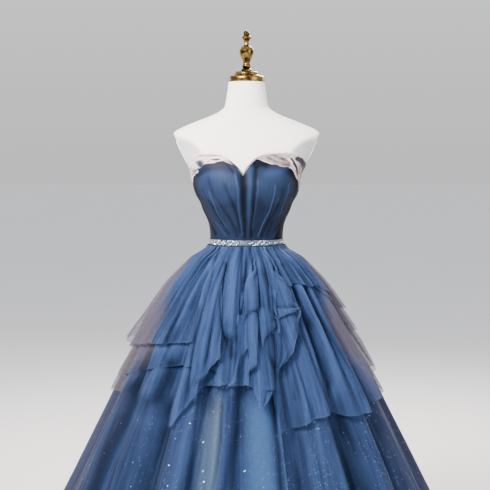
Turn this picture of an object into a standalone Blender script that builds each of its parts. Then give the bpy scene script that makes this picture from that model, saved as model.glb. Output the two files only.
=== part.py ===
"""A strapless prom dress with a sweetheart bodice and a tiered tulle skirt, on a limbless dress form.

Units are metres and +Z is up. The dress faces -Y and the origin is the middle of the base's underside.
Angles round the figure are in degrees from the centre front, positive towards +X.
"""

import math
from collections import namedtuple

import bmesh
import bpy
from mathutils import Vector

# Driving heights
HEM_Z = 0.012
SKIRT_LIFT = 0.003
WAIST_Z = 1.060
BELT_HEIGHT = 0.0186
NECK_TOP_Z = 1.5110

# Cloth walls, and the 0.3 mm that parts two pieces at a seam
SEAM = 0.0003
WALL = 0.0014
GATHER_WALL = 0.0010
WALL_EASE = 0.05

# Bodice, belt and drape: the angle of the centre seam, and how far the cloth is from the form
CENTRE_SEAM = -3.0
WAIST_CLEARANCE = 0.0006
BODICE_CLEARANCE = 0.0021
CLEARANCE_EASE = 0.050
BODICE_WALL = 0.0013
BODICE_ROWS = 9
TUCKED_UNDER_DRAPE = 0.0055
PLEATS_PER_HALF = 6
PLEAT_HEIGHT = 0.0014
PLEAT_FAN = 0.10
PLEAT_LOW_SHARE = 0.35
PLEAT_RISE = 2.5
PLEAT_FADE_FROM = 0.66
PLEAT_FADE_TO = 0.86
BELT_THICKNESS = 0.0022

# Dress form: superellipse sections, with a soft bust and the planes where arms would start
SQUARENESS = 2.15
TORSO_STEP = 9.0
BUST_ANGLE = 26.0
BUST_SPREAD = 27.0
BUST_Z = 1.232
BUST_TALL = 0.062
BUST_HEIGHT = 0.0125
BRIDGE_DEPTH = 0.0020
BRIDGE_SPREAD = 14.0
ARM_CUT_LOW = (0.1500, 1.2500)
ARM_CUT_HIGH = (0.2040, 1.3620)
ARM_PLATE_THICKNESS = 0.003
ARM_PLATE_HALF_HEIGHT = 0.044
ARM_PLATE_HALF_DEPTH = 0.034
ARM_PLATE_UP_THE_CUT = 0.53
ARM_PLATE_Y = 0.007
ARM_PLATE_TAPER = 0.94

# Stand
POLE_RADIUS = 0.0125
BASE_RADIUS = 0.190
BASE_THICKNESS = 0.014
BOSS_RADIUS = 0.024
BOSS_TOP = 0.055

BELT_LOW = WAIST_Z - 0.0086
BELT_TOP = BELT_LOW + BELT_HEIGHT
BODICE_LOW = BELT_LOW + 0.0004
SKIRT_TOP = BELT_LOW - 0.0004

TorsoSection = namedtuple("TorsoSection", "z half_width front back")
TORSO = (
    TorsoSection(0.855, 0.138, 0.094, 0.106),
    TorsoSection(0.864, 0.151, 0.105, 0.117),
    TorsoSection(0.890, 0.157, 0.109, 0.122),
    TorsoSection(0.930, 0.150, 0.106, 0.118),
    TorsoSection(0.985, 0.126, 0.096, 0.100),
    TorsoSection(1.025, 0.1060, 0.0870, 0.0850),
    TorsoSection(BODICE_LOW, 0.1008, 0.0844, 0.0807),
    TorsoSection(1.060, 0.0998, 0.0840, 0.0800),
    TorsoSection(1.085, 0.1000, 0.0870, 0.0815),
    TorsoSection(1.105, 0.1018, 0.0920, 0.0845),
    TorsoSection(1.127, 0.1085, 0.0990, 0.0890),
    TorsoSection(1.150, 0.1195, 0.1065, 0.0940),
    TorsoSection(1.1725, 0.1275, 0.1130, 0.0985),
    TorsoSection(1.195, 0.1400, 0.1180, 0.1020),
    TorsoSection(1.218, 0.1474, 0.1200, 0.1050),
    TorsoSection(1.236, 0.1492, 0.1170, 0.1075),
    TorsoSection(1.250, 0.1500, 0.1145, 0.1080),
    TorsoSection(1.260, 0.1560, 0.1120, 0.1085),
    TorsoSection(1.285, 0.1830, 0.1030, 0.1080),
    TorsoSection(1.315, 0.2060, 0.0910, 0.1060),
    TorsoSection(1.345, 0.2150, 0.0780, 0.1010),
    TorsoSection(1.362, 0.2110, 0.0690, 0.0950),
    TorsoSection(1.3747, 0.1987, 0.0620, 0.0890),
    TorsoSection(1.3868, 0.1745, 0.0570, 0.0820),
    TorsoSection(1.4018, 0.1385, 0.0530, 0.0735),
    TorsoSection(1.4159, 0.1015, 0.0510, 0.0660),
    TorsoSection(1.4299, 0.0745, 0.0500, 0.0600),
    TorsoSection(1.4412, 0.0622, 0.0500, 0.0560),
    TorsoSection(1.4609, 0.0579, 0.0505, 0.0530),
    TorsoSection(1.4890, 0.0536, 0.0510, 0.0515),
    TorsoSection(NECK_TOP_Z, 0.0508, 0.0508, 0.0508),
)

# Top edge of the folded drape, by the angle away from the centre seam
NeckPoint = namedtuple("NeckPoint", "away left_z right_z")
NECKLINE = (
    NeckPoint(0.0, 1.2535, 1.2535),
    NeckPoint(4.5, 1.2727, 1.2765),
    NeckPoint(10.0, 1.2905, 1.2975),
    NeckPoint(16.0, 1.3035, 1.3060),
    NeckPoint(24.0, 1.3075, 1.3095),
    NeckPoint(34.0, 1.3090, 1.3108),
    NeckPoint(43.0, 1.3030, 1.3100),
    NeckPoint(52.0, 1.2890, 1.3030),
    NeckPoint(62.0, 1.2770, 1.2925),
    NeckPoint(75.0, 1.2650, 1.2790),
    NeckPoint(88.0, 1.2570, 1.2620),
    NeckPoint(100.0, 1.2520, 1.2540),
    NeckPoint(135.0, 1.2320, 1.2320),
    NeckPoint(183.0, 1.2150, 1.2150),
)

# Cross-section of the drape: height above its top edge, then inner and outer distance from the torso
DrapeRow = namedtuple("DrapeRow", "z inner outer")
DRAPE = (
    DrapeRow(0.0000, 0.0030, 0.0050),
    DrapeRow(-0.0045, 0.0042, 0.0070),
    DrapeRow(-0.0150, 0.0042, 0.0072),
    DrapeRow(-0.0260, 0.0042, 0.0057),
)

# Rings of the main skirt, and how far each other layer lies outside it (the lining inside)
SkirtRing = namedtuple("SkirtRing", "z half_width depth fold lining bottom middle top cascade")
SKIRT = (
    SkirtRing(SKIRT_TOP, 0.1058, 0.850, 0.0000, -0.0019, 0.0019, 0.0038, 0.0057, 0.0076),
    SkirtRing(1.0430, 0.1085, 0.850, 0.0000, -0.0022, 0.0024, 0.0048, 0.0072, 0.0098),
    SkirtRing(1.0330, 0.1180, 0.850, 0.0010, -0.0032, 0.0042, 0.0084, 0.0126, 0.0170),
    SkirtRing(1.0157, 0.1440, 0.852, 0.0030, -0.0090, 0.0062, 0.0124, 0.0186, 0.0250),
    SkirtRing(0.9813, 0.1675, 0.865, 0.0065, -0.0140, 0.0062, 0.0122, 0.0182, 0.0250),
    SkirtRing(0.9469, 0.1930, 0.875, 0.0085, -0.0170, 0.0066, 0.0132, 0.0198, 0.0270),
    SkirtRing(0.8780, 0.2325, 0.890, 0.0120, -0.0230, 0.0090, 0.0180, 0.0270, 0.0350),
    SkirtRing(0.8090, 0.2660, 0.905, 0.0150, -0.0280, 0.0180, 0.0280, 0.0400, 0.0490),
    SkirtRing(0.7740, 0.2840, 0.910, 0.0165, -0.0300, 0.0220, 0.0310, 0.0430, 0.0520),
    SkirtRing(0.6700, 0.3400, 0.920, 0.0190, -0.0350, 0.0250, 0.0340, 0.0440, 0.0430),
    SkirtRing(0.5600, 0.3930, 0.922, 0.0215, -0.0390, 0.0230, 0.0340, 0.0440, 0.0360),
    SkirtRing(0.3550, 0.4910, 0.925, 0.0260, -0.0450, 0.0220, 0.0330, 0.0430, 0.0360),
    SkirtRing(HEM_Z, 0.6700, 0.930, 0.0320, -0.0530, 0.0220, 0.0330, 0.0430, 0.0360),
)

# Ridges of the skirt's folds, from the left side round the front and back
Fold = namedtuple("Fold", "angle height")
FOLDS = (
    Fold(-90.0, 0.9),
    Fold(-68.0, 1.0),
    Fold(-46.0, 1.2),
    Fold(-22.0, 1.0),
    Fold(-8.0, 0.7),
    Fold(4.5, 1.1),
    Fold(28.0, 1.0),
    Fold(49.0, 1.1),
    Fold(70.0, 0.9),
    Fold(90.0, 1.0),
    Fold(114.0, 1.1),
    Fold(139.0, 0.9),
    Fold(166.0, 1.2),
    Fold(193.0, 1.0),
    Fold(219.0, 1.1),
    Fold(245.0, 0.9),
)
SAMPLES_PER_FOLD = 5
LEFT_SIDE = FOLDS[0].angle
FULL_TURN = 360.0

# The two lower tiers lie closer to the skirt on the left side, from this height down
LIFT_START_Z = 0.860
LIFT_DROP = 0.110
LEFT_HUG = 0.66

# Rows from the top down. Every gathered layer shares the first three, so that the layers stay nested
GATHER_ROWS = (SKIRT_TOP, 1.0370, 1.0110)
LINING_ROWS = GATHER_ROWS + (0.940, 0.800, 0.480, HEM_Z)
SKIRT_ROWS = GATHER_ROWS + (0.940, 0.800, 0.600, 0.320, HEM_Z + SKIRT_LIFT)

# Lower edges of the tiers
HemPoint = namedtuple("HemPoint", "angle z")
TOP_TIER_HEM = (
    HemPoint(-90.0, 0.786),
    HemPoint(-80.0, 0.768),
    HemPoint(-59.0, 0.791),
    HemPoint(-43.0, 0.801),
    HemPoint(-30.0, 0.804),
    HemPoint(0.0, 0.860),
    HemPoint(22.0, 0.930),
    HemPoint(30.0, 0.950),
    HemPoint(41.0, 0.955),
    HemPoint(47.0, 0.946),
    HemPoint(64.0, 0.943),
    HemPoint(78.0, 0.900),
    HemPoint(90.0, 0.868),
    HemPoint(120.0, 0.900),
    HemPoint(160.0, 0.820),
    HemPoint(200.0, 0.850),
    HemPoint(235.0, 0.780),
    HemPoint(270.0, 0.786),
)
MIDDLE_TIER_HEM = (
    HemPoint(-90.0, 0.687),
    HemPoint(-80.0, 0.668),
    HemPoint(-61.0, 0.716),
    HemPoint(-42.0, 0.738),
    HemPoint(-20.0, 0.752),
    HemPoint(-12.0, 0.740),
    HemPoint(-6.0, 0.705),
    HemPoint(2.0, 0.703),
    HemPoint(4.5, 0.650),
    HemPoint(9.5, 0.696),
    HemPoint(20.0, 0.800),
    HemPoint(28.0, 0.958),
    HemPoint(60.0, 0.955),
    HemPoint(75.0, 0.880),
    HemPoint(90.0, 0.806),
    HemPoint(125.0, 0.760),
    HemPoint(165.0, 0.700),
    HemPoint(205.0, 0.730),
    HemPoint(240.0, 0.665),
    HemPoint(270.0, 0.687),
)
BOTTOM_TIER_HEM = (
    HemPoint(-90.0, 0.640),
    HemPoint(-60.0, 0.620),
    HemPoint(-27.0, 0.600),
    HemPoint(-24.0, 0.637),
    HemPoint(-17.0, 0.700),
    HemPoint(8.0, 0.720),
    HemPoint(10.0, 0.690),
    HemPoint(11.5, 0.587),
    HemPoint(18.6, 0.600),
    HemPoint(27.3, 0.628),
    HemPoint(36.0, 0.626),
    HemPoint(41.7, 0.614),
    HemPoint(58.0, 0.620),
    HemPoint(76.0, 0.660),
    HemPoint(90.0, 0.705),
    HemPoint(130.0, 0.640),
    HemPoint(170.0, 0.560),
    HemPoint(210.0, 0.600),
    HemPoint(245.0, 0.570),
    HemPoint(270.0, 0.640),
)

# Each cascade spans two angles at each height and ends along its own hem
CascadeEdge = namedtuple("CascadeEdge", "z left right")
LEFT_CASCADE_EDGES = (
    CascadeEdge(SKIRT_TOP, -37.0, -5.0),
    CascadeEdge(0.960, -32.0, -4.5),
    CascadeEdge(0.737, -22.5, -4.2),
    CascadeEdge(0.600, -20.8, -4.2),
)
RIGHT_CASCADE_EDGES = (
    CascadeEdge(SKIRT_TOP, -4.0, 21.0),
    CascadeEdge(1.013, -3.8, 22.3),
    CascadeEdge(0.950, -3.6, 26.7),
    CascadeEdge(0.890, -3.2, 31.0),
    CascadeEdge(0.600, -3.2, 31.0),
)
CascadeHem = namedtuple("CascadeHem", "across z")
LEFT_CASCADE_HEM = (
    CascadeHem(0.00, 0.671),
    CascadeHem(0.18, 0.668),
    CascadeHem(0.23, 0.716),
    CascadeHem(0.42, 0.736),
    CascadeHem(0.56, 0.771),
    CascadeHem(0.61, 0.838),
    CascadeHem(0.80, 0.825),
    CascadeHem(1.00, 0.820),
)
RIGHT_CASCADE_HEM = (
    CascadeHem(0.00, 0.887),
    CascadeHem(0.22, 0.888),
    CascadeHem(0.27, 0.804),
    CascadeHem(0.44, 0.745),
    CascadeHem(0.70, 0.804),
    CascadeHem(1.00, 0.892),
)
CASCADE_COLUMNS = 12
CASCADE_ROWS = 4
CASCADE_FOLDS = 3
CASCADE_FOLD_HEIGHT = 0.006
CASCADE_EASE = 0.12

# Turned profiles, from the top down, as radius and height
FINIAL_PROFILE = (
    (0.0000, 1.6545), (0.0060, 1.6535), (0.0087, 1.6490), (0.0087, 1.6410), (0.0137, 1.6370),
    (0.0137, 1.6345), (0.0088, 1.6290), (0.0062, 1.6230), (0.0070, 1.6150), (0.0150, 1.6080),
    (0.0205, 1.5995), (0.0200, 1.5920), (0.0160, 1.5820), (0.0112, 1.5720), (0.0097, 1.5630),
    (0.0120, 1.5570), (0.0120, 1.5530), (0.0100, 1.5500), (0.0158, 1.5455), (0.0158, 1.5403),
    (0.0000, 1.5403),
)
CAP_PROFILE = (
    (0.0000, 1.5400), (0.0310, 1.5400), (0.0338, 1.5375), (0.0338, 1.5320), (0.0380, 1.5290),
    (0.0480, 1.5275), (0.0507, 1.5245), (0.0507, 1.5145),
    (0.0495, NECK_TOP_Z + SEAM), (0.0000, NECK_TOP_Z + SEAM),
)
BASE_PROFILE = (
    (0.0000, BOSS_TOP), (BOSS_RADIUS - 0.003, BOSS_TOP), (BOSS_RADIUS, BOSS_TOP - 0.003),
    (BOSS_RADIUS, 0.026), (0.032, 0.0190), (BASE_RADIUS - 0.012, BASE_THICKNESS),
    (BASE_RADIUS - 0.003, BASE_THICKNESS - 0.003), (BASE_RADIUS, BASE_THICKNESS - 0.008),
    (BASE_RADIUS, 0.003), (BASE_RADIUS - 0.003, 0.0), (0.0000, 0.0),
)

COLOURS = {
    "tulle_blue": ((0.085, 0.185, 0.42), 0.75, 0.0),
    "tulle_glitter": ((0.070, 0.160, 0.38), 0.60, 0.0),
    "bodice_blue": ((0.055, 0.120, 0.29), 0.70, 0.0),
    "drape_blush": ((0.72, 0.58, 0.55), 0.65, 0.0),
    "lining_satin": ((0.36, 0.52, 0.72), 0.40, 0.0),
    "rhinestone": ((0.80, 0.84, 0.88), 0.15, 0.6),
    "form_fabric": ((0.90, 0.88, 0.83), 0.85, 0.0),
    "brass": ((0.62, 0.42, 0.14), 0.25, 1.0),
    "stand_white": ((0.80, 0.80, 0.78), 0.40, 0.0),
}


def clear_scene():
    for obj in list(bpy.data.objects):
        bpy.data.objects.remove(obj, do_unlink=True)


def curve_through(xs, ys, x):
    """The height at x of a smooth curve through points, which doesn't overshoot them."""
    if x <= xs[0]:
        return ys[0]
    if x >= xs[-1]:
        return ys[-1]
    i = next(k for k in range(len(xs) - 1) if x <= xs[k + 1])
    steps = [(ys[k + 1] - ys[k]) / (xs[k + 1] - xs[k]) for k in range(len(xs) - 1)]

    def slope(k):
        if k == 0 or k == len(xs) - 1:
            return steps[min(k, len(steps) - 1)]
        before, after = steps[k - 1], steps[k]
        return 0.0 if before * after <= 0 else 2 * before * after / (before + after)

    width = xs[i + 1] - xs[i]
    t = (x - xs[i]) / width
    start = (1 + 2 * t) * (1 - t) ** 2 * ys[i] + t * (1 - t) ** 2 * width * slope(i)
    end = t * t * (3 - 2 * t) * ys[i + 1] + t * t * (t - 1) * width * slope(i + 1)
    return start + end


def straight_through(xs, ys, x):
    """The height at x of straight lines through points, for hems that keep their corners."""
    x = min(max(x, xs[0]), xs[-1])
    i = next(k for k in range(len(xs) - 1) if x <= xs[k + 1])
    return ys[i] + (ys[i + 1] - ys[i]) * (x - xs[i]) / (xs[i + 1] - xs[i])


def read(table, key, column, x, curve=curve_through):
    rows = sorted(table, key=lambda row: getattr(row, key))
    return curve([getattr(r, key) for r in rows], [getattr(r, column) for r in rows], x)


def material(name):
    found = bpy.data.materials.get(name)
    if found:
        return found
    colour, roughness, metallic = COLOURS[name]
    made = bpy.data.materials.new(name)
    made.use_nodes = True
    shader = made.node_tree.nodes["Principled BSDF"]
    shader.inputs["Base Color"].default_value = (*colour, 1.0)
    shader.inputs["Roughness"].default_value = roughness
    shader.inputs["Metallic"].default_value = metallic
    made.diffuse_color = (*colour, 1.0)
    return made


def add_object(name, mesh, material_name, collection):
    obj = bpy.data.objects.new(name, mesh)
    mesh.materials.append(material(material_name))
    collection.objects.link(obj)
    return obj


def rounded(value):
    return math.copysign(abs(value) ** (2 / SQUARENESS), value)


def torso_point(angle, z):
    """A point of the dress form, cut off at the sides by the planes of the arm plates."""
    turn = math.radians(angle)
    half_width = read(TORSO, "z", "half_width", z)
    depth = read(TORSO, "z", "front" if math.cos(turn) > 0 else "back", z)
    x = half_width * rounded(math.sin(turn))
    y = -depth * rounded(math.cos(turn))
    (low_x, low_z), (high_x, high_z) = ARM_CUT_LOW, ARM_CUT_HIGH
    if z > low_z:
        widest = low_x + (z - low_z) * (high_x - low_x) / (high_z - low_z)
        x = max(-widest, min(widest, x))
    across = (abs((angle + 180) % 360 - 180) - BUST_ANGLE) / BUST_SPREAD
    along = (z - BUST_Z) / BUST_TALL
    return Vector((x, y - BUST_HEIGHT * math.exp(-across * across - along * along), z))


def worn_point(angle, z):
    """The surface that the bodice is worn on: the torso, with the hollow between the cups bridged."""
    across = angle / BRIDGE_SPREAD
    along = (z - BUST_Z) / BUST_TALL
    bridge = BRIDGE_DEPTH * math.exp(-across * across - along * along)
    return torso_point(angle, z) - Vector((0.0, bridge, 0.0))


def clearance(z):
    """How far the bodice is from the form: it rests on the waist and stands free above."""
    ease = min(1.0, max(0.0, (z - BODICE_LOW) / CLEARANCE_EASE))
    return WAIST_CLEARANCE + (BODICE_CLEARANCE - WAIST_CLEARANCE) * ease


def moved_out(point_at, angle, z, distance):
    """A point of a surface, moved out by a distance along the surface's own normal."""
    step_angle, step_z = 0.8, 0.002
    along = point_at(angle + step_angle, z) - point_at(angle - step_angle, z)
    up = point_at(angle, z + step_z) - point_at(angle, z - step_z)
    return point_at(angle, z) + distance * along.cross(up).normalized()


def grid_faces(bm, outer, inner, closed):
    """Faces of a wall between two grids of points, with its edges closed."""
    sides = [[[bm.verts.new(p) for p in row] for row in grid] for grid in (outer, inner)]
    rows, columns = len(outer), len(outer[0])
    spans = columns if closed else columns - 1
    out, back = sides
    for r in range(rows - 1):
        for c in range(spans):
            n = (c + 1) % columns
            bm.faces.new((out[r][c], out[r + 1][c], out[r + 1][n], out[r][n]))
            bm.faces.new((back[r][c], back[r][n], back[r + 1][n], back[r + 1][c]))
    for c in range(spans):
        n = (c + 1) % columns
        bm.faces.new((out[0][c], out[0][n], back[0][n], back[0][c]))
        bm.faces.new((out[-1][n], out[-1][c], back[-1][c], back[-1][n]))
    if not closed:
        for r in range(rows - 1):
            bm.faces.new((out[r + 1][0], out[r][0], back[r][0], back[r + 1][0]))
            bm.faces.new((out[r][-1], out[r + 1][-1], back[r + 1][-1], back[r][-1]))


def wall_between(name, outer, inner, material_name, collection, closed=False):
    """A closed wall of cloth between an outer and an inner grid of points."""
    bm = bmesh.new()
    grid_faces(bm, outer, inner, closed)
    bmesh.ops.recalc_face_normals(bm, faces=bm.faces)
    if bm.calc_volume(signed=True) < 0:
        bmesh.ops.reverse_faces(bm, faces=bm.faces)
    mesh = bpy.data.meshes.new(name)
    bm.to_mesh(mesh)
    bm.free()
    mesh.shade_smooth()
    return add_object(name, mesh, material_name, collection)


def turned(name, profile, material_name, collection, steps=24):
    """A turned piece: a profile down its outer side, spun round the Z axis."""
    mesh = bpy.data.meshes.new(name)
    points = [(radius, 0.0, z) for radius, z in profile]
    mesh.from_pydata(points, [(i, i + 1) for i in range(len(points) - 1)], [])
    obj = add_object(name, mesh, material_name, collection)
    screw = obj.modifiers.new("Turn", "SCREW")
    screw.steps = screw.render_steps = steps
    screw.use_merge_vertices = True
    screw.merge_threshold = 0.00001
    screw.use_smooth_shade = True
    return obj


def make_torso(collection):
    """The torso and neck as one lofted solid."""
    bm = bmesh.new()
    rings = []
    columns = round(FULL_TURN / TORSO_STEP)
    for section in TORSO:
        rings.append([bm.verts.new(torso_point(c * TORSO_STEP, section.z)) for c in range(columns)])
    for low, high in zip(rings, rings[1:]):
        for c in range(columns):
            n = (c + 1) % columns
            bm.faces.new((low[c], low[n], high[n], high[c]))
    bm.faces.new(rings[0])
    bm.faces.new(rings[-1])
    bmesh.ops.recalc_face_normals(bm, faces=bm.faces)
    mesh = bpy.data.meshes.new("form_torso")
    bm.to_mesh(mesh)
    bm.free()
    mesh.shade_smooth()
    mesh.set_sharp_from_angle(angle=math.radians(50))
    return add_object("form_torso", mesh, "form_fabric", collection)


def make_arm_plate(side, collection):
    """An oval plate that lies on the slanted cut where an arm would start."""
    (low_x, low_z), (high_x, high_z) = ARM_CUT_LOW, ARM_CUT_HIGH
    slope = math.atan2(high_x - low_x, high_z - low_z)
    middle_x = low_x + (high_x - low_x) * ARM_PLATE_UP_THE_CUT
    middle_z = low_z + (high_z - low_z) * ARM_PLATE_UP_THE_CUT
    middle = Vector((middle_x, ARM_PLATE_Y, middle_z))
    outward = Vector((math.cos(slope), 0.0, -math.sin(slope)))
    centre = middle + outward * (SEAM + ARM_PLATE_THICKNESS / 2)
    bm = bmesh.new()
    bmesh.ops.create_cone(
        bm, cap_ends=True, segments=32, radius1=1.0, radius2=ARM_PLATE_TAPER, depth=ARM_PLATE_THICKNESS
    )
    bmesh.ops.scale(bm, vec=(ARM_PLATE_HALF_HEIGHT, ARM_PLATE_HALF_DEPTH, 1.0), verts=bm.verts)
    mesh = bpy.data.meshes.new("arm_plate_" + side)
    bm.to_mesh(mesh)
    bm.free()
    obj = add_object("arm_plate_" + side, mesh, "form_fabric", collection)
    mirrored = 1 if side == "right" else -1
    obj.location = (mirrored * centre.x, centre.y, centre.z)
    obj.rotation_euler = (0.0, mirrored * (math.pi / 2 + slope), 0.0)
    return obj


def make_stand(collection):
    """The pole and the round base plate."""
    low = BOSS_TOP + SEAM
    high = TORSO[0].z - SEAM
    bpy.ops.mesh.primitive_cylinder_add(
        vertices=28, radius=POLE_RADIUS, depth=high - low, location=(0.0, 0.0, (low + high) / 2)
    )
    pole = bpy.context.object
    pole.name = "stand_pole"
    pole.data.materials.append(material("stand_white"))
    for owner in list(pole.users_collection):
        owner.objects.unlink(pole)
    collection.objects.link(pole)
    turned("stand_base", BASE_PROFILE, "stand_white", collection, steps=32)


def drape_top(angle):
    """Height of the drape's top edge, which dips to a V at the centre seam."""
    away = angle - CENTRE_SEAM
    column = "right_z" if away >= 0 else "left_z"
    return read(NECKLINE, "away", column, abs(away))


def bodice_top(angle):
    return drape_top(angle) - TUCKED_UNDER_DRAPE


def pleat(angle, z, side_edge):
    """How far a radiating pleat of a front half stands proud at a point."""
    up = (z - BODICE_LOW) / (bodice_top(angle) - BODICE_LOW)
    across = abs(angle - CENTRE_SEAM) / abs(side_edge - CENTRE_SEAM)
    fanned = across + PLEAT_FAN * (1 - up) * math.sin(math.pi * across)
    rise = min(1.0, PLEAT_LOW_SHARE + PLEAT_RISE * up)
    fade = rise * max(0.0, min(1.0, (PLEAT_FADE_TO - up) / (PLEAT_FADE_TO - PLEAT_FADE_FROM)))
    return PLEAT_HEIGHT * fade * (0.5 - 0.5 * math.cos(2 * math.pi * PLEATS_PER_HALF * fanned))


def spread(start, end, spans):
    return [start + (end - start) * i / spans for i in range(spans + 1)]


def seam_angle(distance, radius=0.10):
    return math.degrees(distance / radius)


def panel_angles(start, end):
    """Columns in line with those of the torso, twice as close in front, and half a seam inside the ends."""
    half_seam = seam_angle(SEAM / 2)
    steps = [c * TORSO_STEP / 2 for c in range(-40, 41)]
    inside = [a for a in steps if start + 1 < a < end - 1 and (abs(a) < 90 or a % TORSO_STEP == 0)]
    return [start + half_seam] + inside + [end - half_seam]


def bodice_heights(angle):
    """Rows of a bodice panel from its top down: under the drape they are the drape's own."""
    under_drape = [bodice_top(angle)] + [drape_top(angle) + row.z for row in DRAPE[2:]]
    return under_drape + spread(under_drape[-1], BODICE_LOW, BODICE_ROWS - 2)[1:]


def make_bodice_panel(name, start, end, pleated, collection):
    """A panel of the bodice, plain inside, with its pleats in the outer points."""
    angles = panel_angles(start, end)
    side_edge = start if abs(start - CENTRE_SEAM) > abs(end - CENTRE_SEAM) else end
    inner, outer = [], []
    for row in range(BODICE_ROWS + 1):
        inner_row, outer_row = [], []
        for angle in angles:
            z = bodice_heights(angle)[row]
            raised = pleat(angle, z, side_edge) if pleated else 0.0
            inner_row.append(moved_out(worn_point, angle, z, clearance(z)))
            outer_row.append(moved_out(worn_point, angle, z, clearance(z) + BODICE_WALL + raised))
        inner.append(inner_row)
        outer.append(outer_row)
    wall_between(name, outer, inner, "bodice_blue", collection)


def make_bodice(collection):
    make_bodice_panel("bodice_front_left", -90.0, CENTRE_SEAM, True, collection)
    make_bodice_panel("bodice_front_right", CENTRE_SEAM, 90.0, True, collection)
    make_bodice_panel("bodice_back_left", -180.0, -90.0, False, collection)
    make_bodice_panel("bodice_back_right", 90.0, 180.0, False, collection)


def make_drape(name, start, end, collection):
    """The folded band of sheer tulle over one half of the neckline."""
    angles = panel_angles(start, end)
    grids = [
        [
            [moved_out(worn_point, a, drape_top(a) + row.z, getattr(row, side)) for a in angles]
            for row in DRAPE
        ]
        for side in ("outer", "inner")
    ]
    wall_between(name, *grids, "drape_blush", collection)


def make_belt(collection):
    """The rhinestone band round the waist seam, open at the centre back."""
    angles = panel_angles(-180.0, 180.0)
    over_bodice = BODICE_WALL + PLEAT_HEIGHT + 2 * SEAM
    grids = [
        [
            [moved_out(worn_point, a, z, clearance(z) + over_bodice + thick) for a in angles]
            for z in (BELT_TOP, BELT_LOW)
        ]
        for thick in (BELT_THICKNESS, 0.0)
    ]
    wall_between("belt", *grids, "rhinestone", collection)


def wave(angle):
    """The skirt's fold wave: its fold's height on a ridge, and as far in between ridges."""
    turned_angle = (angle - LEFT_SIDE) % FULL_TURN + LEFT_SIDE
    ridges = list(FOLDS) + [FOLDS[0]._replace(angle=LEFT_SIDE + FULL_TURN)]
    fold = next(k for k in range(len(FOLDS)) if turned_angle <= ridges[k + 1].angle)
    start, end = ridges[fold], ridges[fold + 1]
    part = (turned_angle - start.angle) / (end.angle - start.angle)
    height = start.height + (end.height - start.height) * part
    return height * math.cos(2 * math.pi * part)


def closeness(layer, angle, z):
    """How far a lower tier keeps its full gap: on the left side it hugs the skirt under it."""
    if layer not in ("bottom", "middle"):
        return 1.0
    on_left = max(0.0, -math.sin(math.radians(angle))) ** 2
    low_down = min(1.0, max(0.0, (LIFT_START_Z - z) / LIFT_DROP))
    return 1.0 - LEFT_HUG * on_left * low_down


def skirt_surface(layer):
    """The outer surface of a layer of the skirt, as a function of angle and height."""

    def point_at(angle, z):
        gap = read(SKIRT, "z", layer, z) * closeness(layer, angle, z) if layer != "main" else 0.0
        folded = 0.0 if layer == "lining" else wave(angle) * read(SKIRT, "z", "fold", z)
        half_width = read(SKIRT, "z", "half_width", z)
        out = gap + folded
        turn = math.radians(angle)
        half_depth = half_width * read(SKIRT, "z", "depth", z)
        x = (half_width + out) * rounded(math.sin(turn))
        return Vector((x, -(half_depth + out) * rounded(math.cos(turn)), z))

    return point_at


def fold_angles(first, last):
    """Columns at the ridges from one angle to another, and evenly between them."""
    ridges = [f.angle for f in FOLDS] + [FOLDS[0].angle + FULL_TURN]
    angles = []
    for start, end in zip(ridges, ridges[1:]):
        angles += spread(start, end, SAMPLES_PER_FOLD)[:-1]
    return [a for a in angles + [ridges[-1]] if first <= a <= last]


def wall_thickness(z):
    ease = min(1.0, max(0.0, (SKIRT_TOP - z) / WALL_EASE))
    return GATHER_WALL + (WALL - GATHER_WALL) * ease


def make_skirt_wall(name, point_at, angles, heights, material_name, collection, closed):
    """A wall of the skirt that follows its surface, with heights(angle) from the top down."""
    outer, inner = [], []
    for row in range(len(heights(angles[0]))):
        outer_row, inner_row = [], []
        for c, angle in enumerate(angles):
            z = heights(angle)[row]
            if not closed and c in (0, len(angles) - 1):
                radius = read(SKIRT, "z", "half_width", z)
                angle += seam_angle(SEAM / 2, radius) * (1 if c == 0 else -1)
            outer_row.append(point_at(angle, z))
            inner_row.append(moved_out(point_at, angle, z, -wall_thickness(z)))
        outer.append(outer_row)
        inner.append(inner_row)
    return wall_between(name, outer, inner, material_name, collection, closed)


def make_lining(collection):
    """The plain satin lining: a front and two backs."""
    panels = (
        ("lining_front", -90.0, 90.0, 12),
        ("lining_back_right", 90.0, 180.0, 6),
        ("lining_back_left", 180.0, 270.0, 6),
    )
    for name, start, end, spans in panels:
        make_skirt_wall(
            name, skirt_surface("lining"), spread(start, end, spans), lambda angle: LINING_ROWS,
            "lining_satin", collection, closed=False,
        )


def make_glitter_skirt(collection):
    """The main tulle skirt, a front and a back, gathered into the waist."""
    for name, start, end in (("skirt_front", -90.0, 90.0), ("skirt_back", 90.0, 270.0)):
        make_skirt_wall(
            name, skirt_surface("main"), fold_angles(start, end), lambda angle: SKIRT_ROWS,
            "tulle_glitter", collection, closed=False,
        )


def make_tier(name, layer, hem, spans, collection):
    """A gathered tier with a handkerchief hem, nested outside the layer under it."""

    def heights(angle):
        low = read(hem, "angle", "z", angle, straight_through)
        return list(GATHER_ROWS) + spread(GATHER_ROWS[-1], low, spans)[1:]

    angles = fold_angles(LEFT_SIDE, LEFT_SIDE + FULL_TURN)[:-1]
    make_skirt_wall(name, skirt_surface(layer), angles, heights, "tulle_blue", collection, closed=True)


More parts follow.
